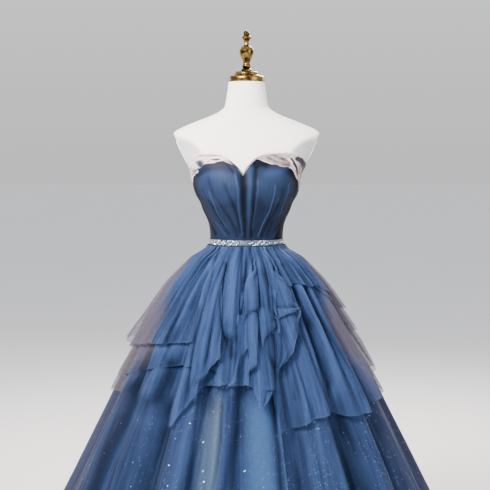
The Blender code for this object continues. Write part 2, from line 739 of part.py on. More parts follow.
def make_cascade(name, edges, hem, collection):
    """A pointed flounce that hangs from the waist over the tiers, with soft folds of its own."""
    plain = skirt_surface("cascade")

    def folded(across, z):
        left = read(edges, "z", "left", z)
        right = read(edges, "z", "right", z)
        angle = left + (right - left) * across
        ease = min(1.0, max(0.0, (SKIRT_TOP - z) / CASCADE_EASE))
        out = CASCADE_FOLD_HEIGHT * ease * (0.5 - 0.5 * math.cos(2 * math.pi * CASCADE_FOLDS * across))
        return moved_out(plain, angle, z, out)

    outer, inner = [], []
    step_across, step_z = 0.01, 0.002
    for row in range(len(GATHER_ROWS) + CASCADE_ROWS):
        outer_row, inner_row = [], []
        for across in spread(0.0, 1.0, CASCADE_COLUMNS):
            low = read(hem, "across", "z", across, straight_through)
            z = (list(GATHER_ROWS) + spread(GATHER_ROWS[-1], low, CASCADE_ROWS)[1:])[row]
            along = folded(across + step_across, z) - folded(across - step_across, z)
            up = folded(across, z + step_z) - folded(across, z - step_z)
            point = folded(across, z)
            outer_row.append(point)
            inner_row.append(point - wall_thickness(z) * along.cross(up).normalized())
        outer.append(outer_row)
        inner.append(inner_row)
    wall_between(name, outer, inner, "tulle_blue", collection)


def main():
    clear_scene()
    collection = bpy.data.collections.new("prom_dress_on_form")
    bpy.context.scene.collection.children.link(collection)
    make_torso(collection)
    make_arm_plate("left", collection)
    make_arm_plate("right", collection)
    turned("neck_cap", CAP_PROFILE, "brass", collection, steps=24)
    turned("finial", FINIAL_PROFILE, "brass", collection, steps=16)
    make_stand(collection)
    make_bodice(collection)
    make_drape("neckline_drape_left", -180.0, CENTRE_SEAM, collection)
    make_drape("neckline_drape_right", CENTRE_SEAM, 180.0, collection)
    make_belt(collection)
    make_lining(collection)
    make_glitter_skirt(collection)
    make_tier("tier_bottom", "bottom", BOTTOM_TIER_HEM, 3, collection)
    make_tier("tier_middle", "middle", MIDDLE_TIER_HEM, 2, collection)
    make_tier("tier_top", "top", TOP_TIER_HEM, 2, collection)
    make_cascade("cascade_left", LEFT_CASCADE_EDGES, LEFT_CASCADE_HEM, collection)
    make_cascade("cascade_right", RIGHT_CASCADE_EDGES, RIGHT_CASCADE_HEM, collection)


main()
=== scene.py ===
"""A strapless prom dress with a sweetheart bodice and a tiered tulle skirt, on a limbless dress form.

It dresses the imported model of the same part, in metres with +Z up. The dress faces -Y.
Angles round the figure are in degrees from the centre front, positive towards +X.
"""

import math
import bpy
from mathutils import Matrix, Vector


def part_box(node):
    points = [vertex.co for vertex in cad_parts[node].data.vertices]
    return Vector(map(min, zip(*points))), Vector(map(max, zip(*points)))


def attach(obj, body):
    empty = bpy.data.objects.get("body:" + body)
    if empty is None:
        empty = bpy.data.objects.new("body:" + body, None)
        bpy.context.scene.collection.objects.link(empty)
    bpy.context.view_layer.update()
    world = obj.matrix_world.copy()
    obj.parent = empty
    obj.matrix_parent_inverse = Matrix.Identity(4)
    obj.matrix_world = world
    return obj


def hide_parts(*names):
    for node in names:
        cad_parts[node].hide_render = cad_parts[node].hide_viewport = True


bl_info = {
    "name": "Prom dress on a dress form",
    "version": (1, 0, 0),
    "blender": (4, 5, 0),
    "location": "3D View > Sidebar > Prom dress",
    "description": "Makes the cloth, belt, form and studio of a prom dress shown on a dress form",
    "category": "Object",
}

from collections import namedtuple

import bmesh
import bpy
import numpy as np
from bpy.props import FloatProperty, FloatVectorProperty, IntProperty, PointerProperty
from mathutils import Vector

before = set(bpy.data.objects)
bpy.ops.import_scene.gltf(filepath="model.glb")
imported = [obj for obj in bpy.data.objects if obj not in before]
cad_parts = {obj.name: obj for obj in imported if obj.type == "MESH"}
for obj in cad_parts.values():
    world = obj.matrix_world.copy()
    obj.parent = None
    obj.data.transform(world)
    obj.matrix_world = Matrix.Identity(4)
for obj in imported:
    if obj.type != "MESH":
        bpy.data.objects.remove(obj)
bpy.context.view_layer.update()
BODY = "root"

# Driving heights, as in the frame
HEM_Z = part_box("lining_front")[0][2]
BELT_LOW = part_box("belt")[0][2]
BELT_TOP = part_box("belt")[1][2]
NECK_TOP_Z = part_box("form_torso")[1][2]
SKIRT_LIFT = 0.003
SKIRT_TOP = BELT_LOW - 0.0004
BODICE_LOW = BELT_LOW + 0.0004
SEAM = 0.0003

# Points round and down the widest sheets, which keep all of the sheets under a million triangles
TIER_COLUMNS = 900
TIER_ROWS = 68
SKIRT_COLUMNS = 480
SKIRT_ROWS = 100

# Bodice, belt and drape
CENTRE_SEAM = -3.0
WAIST_CLEARANCE = 0.0006
BODICE_CLEARANCE = 0.0021
CLEARANCE_EASE = 0.050
BODICE_WALL = 0.0013
TUCKED_UNDER_DRAPE = 0.0055
BELT_THICKNESS = 0.0022
BELT_INSIDE = 0.0033
BELT_TRIM = 0.0008

# Dress form
SQUARENESS = 2.15
BUST_ANGLE = 26.0
BUST_SPREAD = 27.0
BUST_Z = 1.232
BUST_TALL = 0.062
BUST_HEIGHT = 0.0125
BRIDGE_DEPTH = 0.0020
BRIDGE_SPREAD = 14.0
ARM_CUT_LOW = (0.1500, 1.2500)
ARM_CUT_HIGH = (0.2040, 1.3620)

TorsoSection = namedtuple("TorsoSection", "z half_width front back")
TORSO = (
    TorsoSection(0.855, 0.138, 0.094, 0.106),
    TorsoSection(0.864, 0.151, 0.105, 0.117),
    TorsoSection(0.890, 0.157, 0.109, 0.122),
    TorsoSection(0.930, 0.150, 0.106, 0.118),
    TorsoSection(0.985, 0.126, 0.096, 0.100),
    TorsoSection(1.025, 0.1060, 0.0870, 0.0850),
    TorsoSection(BODICE_LOW, 0.1008, 0.0844, 0.0807),
    TorsoSection(1.060, 0.0998, 0.0840, 0.0800),
    TorsoSection(1.085, 0.1000, 0.0870, 0.0815),
    TorsoSection(1.105, 0.1018, 0.0920, 0.0845),
    TorsoSection(1.127, 0.1085, 0.0990, 0.0890),
    TorsoSection(1.150, 0.1195, 0.1065, 0.0940),
    TorsoSection(1.1725, 0.1275, 0.1130, 0.0985),
    TorsoSection(1.195, 0.1400, 0.1180, 0.1020),
    TorsoSection(1.218, 0.1474, 0.1200, 0.1050),
    TorsoSection(1.236, 0.1492, 0.1170, 0.1075),
    TorsoSection(1.250, 0.1500, 0.1145, 0.1080),
    TorsoSection(1.260, 0.1560, 0.1120, 0.1085),
    TorsoSection(1.285, 0.1830, 0.1030, 0.1080),
    TorsoSection(1.315, 0.2060, 0.0910, 0.1060),
    TorsoSection(1.345, 0.2150, 0.0780, 0.1010),
    TorsoSection(1.362, 0.2110, 0.0690, 0.0950),
    TorsoSection(1.3747, 0.1987, 0.0620, 0.0890),
    TorsoSection(1.3868, 0.1745, 0.0570, 0.0820),
    TorsoSection(1.4018, 0.1385, 0.0530, 0.0735),
    TorsoSection(1.4159, 0.1015, 0.0510, 0.0660),
    TorsoSection(1.4299, 0.0745, 0.0500, 0.0600),
    TorsoSection(1.4412, 0.0622, 0.0500, 0.0560),
    TorsoSection(1.4609, 0.0579, 0.0505, 0.0530),
    TorsoSection(1.4890, 0.0536, 0.0510, 0.0515),
    TorsoSection(NECK_TOP_Z, 0.0508, 0.0508, 0.0508),
)

# Top edge of the folded drape, by the angle away from the centre seam
NeckPoint = namedtuple("NeckPoint", "away left_z right_z")
NECKLINE = (
    NeckPoint(0.0, 1.2535, 1.2535),
    NeckPoint(4.5, 1.2727, 1.2765),
    NeckPoint(10.0, 1.2905, 1.2975),
    NeckPoint(16.0, 1.3035, 1.3060),
    NeckPoint(24.0, 1.3075, 1.3095),
    NeckPoint(34.0, 1.3090, 1.3108),
    NeckPoint(43.0, 1.3030, 1.3100),
    NeckPoint(52.0, 1.2890, 1.3030),
    NeckPoint(62.0, 1.2770, 1.2925),
    NeckPoint(75.0, 1.2650, 1.2790),
    NeckPoint(88.0, 1.2570, 1.2620),
    NeckPoint(100.0, 1.2520, 1.2540),
    NeckPoint(135.0, 1.2320, 1.2320),
    NeckPoint(183.0, 1.2150, 1.2150),
)

# Ridges and troughs that are placed one by one on the front, and mirrored on the back: half width in
# metres, height against the others, and corners as angle and height
# Each line is both a small relief and a painted shade, lighter on a ridge and darker in a trough
Line = namedtuple("Line", "width height points")
PLEAT_LINES = (
    # A painted shadow under the drape on the right of the bodice, also a shallow trough
    Line(0.011, -1.3, ((9.5, 1.285), (17, 1.28))),
    Line(0.006, -0.8, ((-70, 1.25), (-72, 1.235), (-69, 1.19), (-73, 1.17), (-69, 1.125), (-56, 1.085))),
    Line(0.005, -0.55, ((-42, 1.24), (-40, 1.22), (-35, 1.185), (-26, 1.145), (-16, 1.10), (-13, 1.08))),
    Line(0.002, 1.2, ((-43, 1.205), (-42, 1.17), (-39, 1.135), (-33, 1.115), (-31, 1.105))),
    Line(0.0045, -0.55, ((-54, 1.21), (-50, 1.185), (-43, 1.145), (-33, 1.105), (-27, 1.085))),
    Line(0.002, 0.75, ((-57, 1.14), (-53, 1.125), (-45, 1.11), (-32, 1.08))),
    Line(0.005, -0.7, ((-22, 1.225), (-17, 1.185), (-11, 1.14), (-8, 1.09))),
    Line(0.003, 1.1, ((-10.5, 1.255), (-7.5, 1.21), (-8.5, 1.15), (-6, 1.085))),
    Line(0.0085, -1.2, ((-3.5, 1.245), (-3, 1.185), (-1, 1.12), (-0.5, 1.08))),
    Line(0.0065, 1.0, ((3, 1.265), (3.5, 1.23), (2, 1.14), (2, 1.08))),
    Line(0.006, -0.9, ((8, 1.28), (8.5, 1.25), (7, 1.18), (7.5, 1.14), (5.5, 1.08))),
    Line(0.0025, 0.75, ((11, 1.235), (10, 1.155), (8, 1.10))),
    Line(0.016, -0.35, ((16, 1.19), (17, 1.155), (13.5, 1.08))),
    Line(0.002, 1.4, ((30, 1.22), (30.5, 1.18), (30, 1.155), (27, 1.135), (17, 1.08))),
    Line(0.002, 0.75, ((38, 1.19), (36, 1.155), (34, 1.14))),
    Line(0.0065, -0.7, ((41.5, 1.21), (42, 1.18), (34, 1.135), (23, 1.08))),
    Line(0.0025, 1.0, ((49, 1.225), (50, 1.175), (49, 1.14))),
    Line(0.002, 0.9, ((63, 1.115), (55, 1.10), (44, 1.075))),
    Line(0.011, -0.95, ((46, 1.265), (58, 1.25), (63, 1.23), (69, 1.18), (62, 1.13), (54, 1.075))),
    Line(0.0065, -0.55, ((39, 1.12), (32, 1.08))),
    Line(0.006, -0.5, ((-62, 1.245), (-48, 1.26), (-39, 1.265))),
    Line(0.004, -0.8, ((-17, 1.285), (-15, 1.275), (-11, 1.255))),
)
DRAPE_LINES = (
    Line(0.002, 1.0, ((-59, 1.273), (-51, 1.282), (-44, 1.29), (-38, 1.296), (-35, 1.288))),
    Line(0.0025, 0.9, ((-36, 1.286), (-29, 1.294), (-22, 1.297), (-15, 1.293))),
    Line(0.0025, -0.8, ((-34, 1.286), (-28, 1.291), (-22, 1.291))),
    Line(0.002, 0.9, ((-31, 1.289), (-26, 1.281), (-19, 1.29), (-16, 1.291))),
    Line(0.002, -0.5, ((-25, 1.28), (-17, 1.287))),
    Line(0.0025, -0.5, ((-38, 1.301), (-29, 1.305), (-20, 1.302))),
    Line(0.0065, -0.6, ((-41, 1.285), (-45, 1.276))),
    Line(0.0025, -0.6, ((-65, 1.265), (-50, 1.267))),
    Line(0.0025, 0.6, ((-72, 1.264), (-88, 1.242), (-85, 1.21))),
    Line(0.0025, -1.6, ((-12, 1.286), (-5, 1.254))),
    Line(0.002, 0.6, ((-14, 1.288), (-10, 1.267))),
    Line(0.0035, -0.35, ((15, 1.298), (24, 1.285), (41, 1.276))),
    Line(0.0035, -0.35, ((19, 1.302), (38, 1.284))),
    Line(0.0035, -2.6, ((44, 1.295), (50, 1.291), (64, 1.275), (74, 1.262), (79, 1.243))),
    Line(0.002, 0.9, ((37, 1.299), (45, 1.284), (58, 1.267), (72, 1.246))),
    Line(0.002, -1.6, ((38, 1.295), (45, 1.282), (58, 1.265), (68, 1.251))),
    Line(0.002, 0.7, ((34, 1.295), (43, 1.278), (53, 1.267))),
    Line(0.0035, 0.7, ((56, 1.258), (67, 1.232), (71, 1.21))),
)
WAIST_LINES = (
    Line(0.005, -1.1, ((-47, 1.06), (-43, 1.02), (-43, 0.98), (-42, 0.93), (-41, 0.83), (-41, 0.79))),
    Line(0.005, -0.6, ((-52, 1.04), (-48, 1.02), (-47, 0.98), (-46, 0.87))),
    Line(0.005, 0.6, ((-38, 1.01), (-39, 0.96), (-39, 0.85))),
    Line(0.004, -0.6, ((-61, 1.04), (-57, 1.00), (-57, 0.95))),
    Line(0.004, -1.1, ((-38, 1.05), (-35, 1.03), (-30, 1.01), (-24, 0.96), (-24, 0.89), (-23, 0.76))),
    Line(0.006, 0.8, ((-38, 1.03), (-33, 0.99), (-28, 0.94), (-27, 0.90))),
    Line(0.007, 0.8, ((-33, 1.05), (-23, 1.01), (-22, 0.97), (-20, 0.92), (-19, 0.86))),
    Line(0.003, -1.6, ((-19, 1.01), (-16, 0.97), (-15, 0.95), (-15, 0.92), (-13, 0.87), (-10, 0.82))),
    Line(0.004, -0.7, ((-18, 1.05), (-16, 1.01), (-15, 0.99))),
    Line(0.016, 0.8, ((-13, 1.03), (-10, 0.99), (-10, 0.94), (-9, 0.88))),
    Line(0.004, -1.0, ((-5, 1.05), (-4, 1.02), (-3, 0.98), (-2, 0.94))),
    Line(0.004, -1.0, ((3, 1.05), (1, 1.02), (0, 0.98), (-1, 0.96))),
    Line(0.003, 0.8, ((5, 1.01), (2, 0.98), (0, 0.95), (-2, 0.92), (-4, 0.86))),
    Line(0.008, 0.6, ((4, 0.99), (2, 0.94), (0, 0.90))),
    Line(0.003, -0.7, ((8, 1.05), (9, 1.03), (7, 1.02))),
    Line(0.003, -0.8, ((7, 1.00), (6, 0.97), (5, 0.90))),
    Line(0.008, -0.6, ((11, 0.99), (10, 0.95), (8, 0.90))),
    Line(0.003, -1.2, ((13, 0.98), (13, 0.95), (12, 0.90), (12, 0.86))),
    Line(0.006, 1.0, ((24, 1.05), (15, 1.01), (14, 0.97), (14, 0.93))),
    Line(0.006, -0.7, ((28, 1.04), (22, 1.01), (24, 0.98), (26, 0.95))),
    Line(0.003, 0.8, ((22, 0.99), (23, 0.96), (25, 0.94), (29, 0.89))),
    Line(0.003, -1.0, ((41, 1.05), (36, 1.02), (33, 1.00), (35, 0.98), (36, 0.95))),
    Line(0.003, 0.6, ((37, 1.05), (35, 1.03), (33, 1.01))),
    Line(0.004, -0.6, ((48, 1.05), (44, 1.01), (43, 0.97))),
    Line(0.003, 0.6, ((52, 1.04), (46, 1.00), (46, 0.96))),
    Line(0.005, -0.6, ((59, 1.03), (50, 0.98), (50, 0.93))),
    Line(0.006, -1.0, ((-27, 0.90), (-25, 0.84), (-25, 0.78))),
    Line(0.012, -0.6, ((-44, 0.90), (-42, 0.82), (-42, 0.77))),
    Line(0.009, 0.6, ((-37, 0.88), (-36, 0.82), (-37, 0.77))),
    Line(0.011, -1.3, ((-9, 0.82), (-7, 0.80), (-6, 0.78))),
    Line(0.004, 0.8, ((-20, 0.95), (-18, 0.87), (-18, 0.75))),
)
TIER_LINES = (
    Line(0.005, -0.8, ((40, 0.94), (42, 0.87), (42, 0.81), (41, 0.77), (40, 0.70), (35, 0.66))),
    Line(0.005, 0.7, ((45, 0.86), (43, 0.79), (42, 0.71), (39, 0.65))),
    Line(0.010, -0.9, ((48, 0.93), (50, 0.86), (52, 0.76), (53, 0.71), (52, 0.66))),
    Line(0.010, 0.7, ((62, 0.90), (62, 0.84), (63, 0.78), (63, 0.66))),
    Line(0.005, -0.8, ((21, 0.79), (20, 0.73), (19, 0.67))),
    Line(0.008, 0.7, ((17, 0.75), (16, 0.61))),
    Line(0.005, -1.9, ((12, 0.83), (12, 0.78), (11, 0.73), (10, 0.67), (10, 0.64))),
    Line(0.007, -0.6, ((29, 0.82), (30, 0.78), (29, 0.71), (28, 0.67))),
    Line(0.008, 0.8, ((24, 0.80), (23, 0.68), (22, 0.63))),
    Line(0.009, -1.0, ((-38, 0.75), (-39, 0.68), (-40, 0.64))),
    Line(0.008, 0.7, ((-35, 0.73), (-36, 0.62))),
    Line(0.008, -0.8, ((-57, 0.71), (-59, 0.67), (-59, 0.63))),
)
SKIRT_LINES = (
    Line(0.011, 0.7, ((-56, 0.66), (-58, 0.56), (-59, 0.47), (-59, 0.03))),
    Line(0.012, -0.9, ((-61, 0.66), (-61, 0.03))),
    Line(0.016, -0.7, ((-46, 0.66), (-46, 0.52), (-44, 0.44), (-44, 0.03))),
    Line(0.016, 0.6, ((-39, 0.66), (-37, 0.52), (-36, 0.44), (-36, 0.03))),
    Line(0.020, -1.1, ((-33, 0.62), (-32, 0.54), (-31, 0.44), (-31, 0.03))),
    Line(0.014, 0.7, ((-21, 0.65), (-21, 0.52), (-22, 0.46), (-22, 0.03))),
    Line(0.005, -1.0, ((-19, 0.66), (-18, 0.49), (-18, 0.03))),
    Line(0.015, 0.5, ((-17, 0.66), (-16, 0.55), (-15, 0.45), (-15, 0.03))),
    Line(0.009, 1.2, ((-11, 0.67), (-10, 0.58), (-10, 0.51), (-11, 0.46), (-11, 0.03))),
    Line(0.004, -2.2, ((-9, 0.66), (-8.5, 0.57), (-9, 0.50), (-10, 0.46), (-10, 0.03))),
    Line(0.010, 0.7, ((-7.5, 0.67), (-7, 0.60), (-7, 0.53), (-7.5, 0.46), (-7.5, 0.03))),
    Line(0.015, -1.3, ((-4, 0.67), (-3, 0.60), (-4, 0.53), (-4, 0.03))),
    Line(0.013, 0.9, ((2, 0.68), (1, 0.46), (1, 0.03))),
    Line(0.013, 0.8, ((7, 0.68), (6, 0.57), (5, 0.46), (5, 0.03))),
    Line(0.004, -0.5, ((4, 0.67), (3, 0.46), (3, 0.03))),
    Line(0.006, -1.5, ((10, 0.67), (10.5, 0.59), (10, 0.46), (10, 0.03))),
    Line(0.003, 1.6, ((12, 0.62), (12, 0.03))),
    Line(0.015, -0.7, ((18, 0.58), (18, 0.52), (17, 0.45), (17, 0.03))),
    Line(0.015, 0.4, ((25, 0.60), (24, 0.54), (23, 0.45), (23, 0.03))),
    Line(0.015, 0.8, ((37, 0.60), (33, 0.54), (32, 0.45), (32, 0.03))),
    Line(0.020, -1.5, ((42, 0.61), (42, 0.55), (41, 0.49), (41, 0.03))),
    Line(0.006, 1.0, ((63, 0.61), (62, 0.56), (63, 0.49), (63, 0.03))),
    Line(0.011, -0.8, ((64.5, 0.58), (64.5, 0.03))),
)

# Rings of the main skirt, and how far each other layer lies outside it (the lining inside)
SkirtRing = namedtuple("SkirtRing", "z half_width depth fold lining bottom middle top cascade")
SKIRT = (
    SkirtRing(SKIRT_TOP, 0.1058, 0.850, 0.0000, -0.0019, 0.0019, 0.0038, 0.0057, 0.0076),
    SkirtRing(1.0430, 0.1085, 0.850, 0.0000, -0.0022, 0.0024, 0.0048, 0.0072, 0.0098),
    SkirtRing(1.0330, 0.1165, 0.850, 0.0010, -0.0032, 0.0042, 0.0084, 0.0126, 0.0170),
    SkirtRing(1.0157, 0.1340, 0.852, 0.0030, -0.0090, 0.0062, 0.0124, 0.0186, 0.0250),
    SkirtRing(0.9813, 0.1650, 0.865, 0.0065, -0.0140, 0.0062, 0.0122, 0.0182, 0.0250),
    SkirtRing(0.9469, 0.1930, 0.875, 0.0085, -0.0170, 0.0066, 0.0132, 0.0198, 0.0270),
    SkirtRing(0.8780, 0.2325, 0.890, 0.0120, -0.0230, 0.0090, 0.0180, 0.0270, 0.0350),
    SkirtRing(0.8090, 0.2660, 0.905, 0.0150, -0.0280, 0.0180, 0.0280, 0.0400, 0.0490),
    SkirtRing(0.7740, 0.2840, 0.910, 0.0165, -0.0300, 0.0220, 0.0310, 0.0430, 0.0520),
    SkirtRing(0.6700, 0.3400, 0.920, 0.0190, -0.0350, 0.0250, 0.0340, 0.0440, 0.0430),
    SkirtRing(0.5600, 0.3930, 0.922, 0.0215, -0.0390, 0.0230, 0.0340, 0.0440, 0.0360),
    SkirtRing(0.3550, 0.4910, 0.925, 0.0260, -0.0450, 0.0220, 0.0330, 0.0430, 0.0360),
    SkirtRing(HEM_Z, 0.6700, 0.930, 0.0320, -0.0530, 0.0220, 0.0330, 0.0430, 0.0360),
)

# Ridges of the skirt's large folds, from the left side round the front and back
Fold = namedtuple("Fold", "angle height")
FOLDS = (
    Fold(-90.0, 0.9),
    Fold(-68.0, 1.0),
    Fold(-46.0, 1.2),
    Fold(-22.0, 1.0),
    Fold(-8.0, 0.7),
    Fold(4.5, 1.1),
    Fold(28.0, 1.0),
    Fold(49.0, 1.1),
    Fold(70.0, 0.9),
    Fold(90.0, 1.0),
    Fold(114.0, 1.1),
    Fold(139.0, 0.9),
    Fold(166.0, 1.2),
    Fold(193.0, 1.0),
    Fold(219.0, 1.1),
    Fold(245.0, 0.9),
)
# Where the valleys of the front are shallower than the solids'
Softened = namedtuple("Softened", "angle spread share")
SOFTENED = (Softened(-16.5, 5.5, 0.80), Softened(13.5, 4.5, 0.45))
LEFT_SIDE = FOLDS[0].angle
FULL_TURN = 360.0
VALLEY_POWER = 1.5
LIFT_START_Z = 0.860
LIFT_DROP = 0.110
LEFT_HUG = 0.66

# Heights of the gathers that spread from the belt, fine ones round the waist and broader ones below
GatherRing = namedtuple("GatherRing", "z fine broad")
GATHERS = (
    GatherRing(SKIRT_TOP, 0.0006, 0.0000),
    GatherRing(1.0370, 0.0028, 0.0004),
    GatherRing(1.0110, 0.0052, 0.0016),
    GatherRing(0.9700, 0.0056, 0.0040),
    GatherRing(0.9000, 0.0040, 0.0066),
    GatherRing(0.8000, 0.0020, 0.0078),
    GatherRing(0.6000, 0.0007, 0.0064),
    GatherRing(0.3000, 0.0002, 0.0048),
    GatherRing(HEM_Z, 0.0000, 0.0042),
)
GATHER_POWER = 2.0

# Folds that each layer has for itself: how many, where they start, and their share of the gap below
OwnFolds = namedtuple("OwnFolds", "count start")
OWN_FOLDS = {
    "main": OwnFolds(61, 0.4),
    "bottom": OwnFolds(37, 1.1),
    "middle": OwnFolds(43, 2.3),
    "top": OwnFolds(47, 3.9),
    "cascade": OwnFolds(35, 5.0),
}
OWN_SHARE = 0.26
LAYER_BELOW = {"middle": "bottom", "top": "middle", "cascade": "top"}

# Lower edges of the tiers
HemPoint = namedtuple("HemPoint", "angle z")
TOP_TIER_HEM = (
    HemPoint(-90.0, 0.786),
    HemPoint(-80.0, 0.768),
    HemPoint(-59.0, 0.791),
    HemPoint(-43.0, 0.801),
    HemPoint(-30.0, 0.804),
    HemPoint(0.0, 0.860),
    HemPoint(22.0, 0.930),
    HemPoint(30.0, 0.950),
    HemPoint(41.0, 0.955),
    HemPoint(47.0, 0.946),
    HemPoint(64.0, 0.943),
    HemPoint(78.0, 0.900),
    HemPoint(90.0, 0.868),
    HemPoint(120.0, 0.900),
    HemPoint(160.0, 0.820),
    HemPoint(200.0, 0.850),
    HemPoint(235.0, 0.780),
    HemPoint(270.0, 0.786),
)
MIDDLE_TIER_HEM = (
    HemPoint(-90.0, 0.687),
    HemPoint(-80.0, 0.668),
    HemPoint(-61.0, 0.716),
    HemPoint(-42.0, 0.738),
    HemPoint(-20.0, 0.752),
    HemPoint(-12.0, 0.740),
    HemPoint(-6.0, 0.705),
    HemPoint(2.0, 0.703),
    HemPoint(4.5, 0.650),
    HemPoint(9.5, 0.696),
    HemPoint(20.0, 0.800),
    HemPoint(28.0, 0.958),
    HemPoint(60.0, 0.955),
    HemPoint(75.0, 0.880),
    HemPoint(90.0, 0.806),
    HemPoint(125.0, 0.760),
    HemPoint(165.0, 0.700),
    HemPoint(205.0, 0.730),
    HemPoint(240.0, 0.665),
    HemPoint(270.0, 0.687),
)
BOTTOM_TIER_HEM = (
    HemPoint(-90.0, 0.640),
    HemPoint(-60.0, 0.620),
    HemPoint(-27.0, 0.600),
    HemPoint(-24.0, 0.637),
    HemPoint(-17.0, 0.700),
    HemPoint(8.0, 0.720),
    HemPoint(9.3, 0.690),
    HemPoint(10.2, 0.591),
    HemPoint(18.6, 0.598),
    HemPoint(23.6, 0.618),
    HemPoint(32.0, 0.634),
    HemPoint(41.7, 0.614),
    HemPoint(58.0, 0.620),
    HemPoint(76.0, 0.660),
    HemPoint(90.0, 0.705),
    HemPoint(130.0, 0.640),
    HemPoint(170.0, 0.560),
    HemPoint(210.0, 0.600),
    HemPoint(245.0, 0.570),
    HemPoint(270.0, 0.640),
)

# Each cascade spans two angles at each height and ends along its own hem
CascadeEdge = namedtuple("CascadeEdge", "z left right")
LEFT_CASCADE_EDGES = (
    CascadeEdge(SKIRT_TOP, -37.0, -4.25),
    CascadeEdge(0.960, -32.0, -3.85),
    CascadeEdge(0.737, -22.5, -3.75),
    CascadeEdge(0.600, -20.8, -3.75),
)
RIGHT_CASCADE_EDGES = (
    CascadeEdge(SKIRT_TOP, -4.0, 21.0),
    CascadeEdge(1.013, -3.8, 22.3),
    CascadeEdge(0.950, -3.6, 26.7),
    CascadeEdge(0.890, -3.2, 31.0),
    CascadeEdge(0.600, -3.2, 31.0),
)
CascadeHem = namedtuple("CascadeHem", "across z")
LEFT_CASCADE_HEM = (
    CascadeHem(0.00, 0.671),
    CascadeHem(0.18, 0.668),
    CascadeHem(0.23, 0.716),
    CascadeHem(0.42, 0.736),
    CascadeHem(0.56, 0.771),
    CascadeHem(0.61, 0.838),
    CascadeHem(0.80, 0.825),
    CascadeHem(1.00, 0.820),
)
RIGHT_CASCADE_HEM = (
    CascadeHem(0.00, 0.887),
    CascadeHem(0.22, 0.888),
    CascadeHem(0.27, 0.804),
    CascadeHem(0.44, 0.745),
    CascadeHem(0.70, 0.804),
    CascadeHem(1.00, 0.892),
)

# Loose flaps over the tiers: corners of their left and right edges from the top down, in degrees and metres
# up, how far they stand off their layer, their own folds, how much lighter their painted shade is, and their
# painted edge highlight
Flap = namedtuple("Flap", "name layer left right lift folds height tone edge")
FLAPS = (
    Flap(
        "Flap_left_long", "cascade",
        ((-33, 1.045), (-29, 0.96), (-25, 0.905), (-22.5, 0.825), (-22, 0.745), (-21, 0.693)),
        ((-18, 1.045), (-14.5, 0.94), (-11.5, 0.84), (-10, 0.775), (-14, 0.75), (-14.5, 0.735), (-17.5, 0.72),
         (-20.8, 0.693)),
        0.0045, 2, 0.002, 0.35, 0.45,
    ),
    Flap(
        "Flap_centre_a", "cascade",
        ((6.5, 1.035), (3.5, 0.99), (0.5, 0.955), (-2, 0.915), (-3.5, 0.87), (-3.5, 0.85)),
        ((9, 1.035), (7, 0.98), (6.5, 0.94), (6, 0.895)),
        0.0085, 2, 0.003, 0.35, 0.80,
    ),
    Flap(
        "Flap_centre_left", "cascade",
        ((-4.5, 0.88), (-4, 0.82), (-4, 0.775), (-5, 0.72), (-7, 0.703)),
        ((1.5, 0.88), (1.5, 0.805), (-2, 0.775), (-3.5, 0.745), (-3.5, 0.715), (-6.8, 0.702)),
        0.0035, 1, 0.002, 0.90, 0.80,
    ),
    Flap(
        "Flap_centre_strip", "cascade",
        ((0, 0.89), (0, 0.825), (1, 0.805), (1.5, 0.78), (0, 0.736)),
        ((5, 0.89), (4, 0.83), (3.5, 0.76), (0.3, 0.735)),
        0.0060, 1, 0.002, 0.42, 0.60,
    ),
    Flap(
        "Flap_centre_end", "middle",
        ((-1.5, 0.80), (-1.5, 0.78), (-1, 0.735), (-1, 0.705)),
        ((1, 0.80), (1, 0.78), (1.5, 0.745), (1, 0.703)),
        0.0040, 1, 0.002, 0.90, 0.45,
    ),
    Flap(
        "Flap_right_panel", "cascade",
        ((13, 1.045), (14.5, 1.02), (14, 0.985), (12.5, 0.935), (12.5, 0.88)),
        ((20, 1.045), (21, 1.02), (22.5, 0.99), (25, 0.955), (27, 0.92), (29.5, 0.893)),
        0.0080, 2, 0.003, 0.20, 0.80,
    ),
    Flap(
        "Flap_knot", "cascade",
        ((15, 0.952), (13.5, 0.917), (13, 0.89), (13.5, 0.87)),
        ((21, 0.952), (19.5, 0.927), (18.5, 0.905), (16, 0.892), (14.5, 0.869)),
        0.0115, 2, 0.004, 0.42, 0.70,
    ),
    Flap(
        "Flap_drop", "cascade",
        ((5.5, 0.90), (5, 0.855), (5.5, 0.804)),
        ((10.5, 0.90), (13.5, 0.85), (9.5, 0.837), (7.5, 0.824), (5.8, 0.803)),
        0.0075, 1, 0.002, 0.30, 0.80,
    ),
    Flap(
        "Flap_lower_point", "cascade",
        ((18, 0.897), (15, 0.86), (13, 0.835), (11.5, 0.797), (11, 0.765), (11.3, 0.744)),
        ((30, 0.893), (29, 0.878), (26, 0.856), (23.5, 0.83), (21.5, 0.803), (20.5, 0.785), (17, 0.763),
         (11.6, 0.743)),
        0.0040, 2, 0.003, -0.02, 0.70,
    ),
    Flap(
        "Flap_triangle", "cascade",
        ((19, 0.899), (18, 0.884), (17, 0.864)),
        ((30, 0.897), (29.5, 0.892), (23, 0.879), (17.4, 0.863)),
        0.0135, 1, 0.002, 0.35, 1.10,
    ),
    Flap(
        "Flap_small_end", "cascade",
        ((13, 0.878), (13.5, 0.85), (12.5, 0.829)),
        ((17, 0.871), (16, 0.846), (15.5, 0.829)),
        0.0125, 1, 0.002, 0.60, 0.60,
    ),
    Flap(
        "Flap_under_point", "middle",
        ((3, 0.84), (3.5, 0.807), (4, 0.735), (4, 0.676), (4.6, 0.65)),
        ((11, 0.84), (10.5, 0.824), (10.5, 0.78), (10, 0.695), (6.5, 0.697), (4.8, 0.65)),
        0.0040, 2, 0.002, 0.25, 0.45,
    ),
)

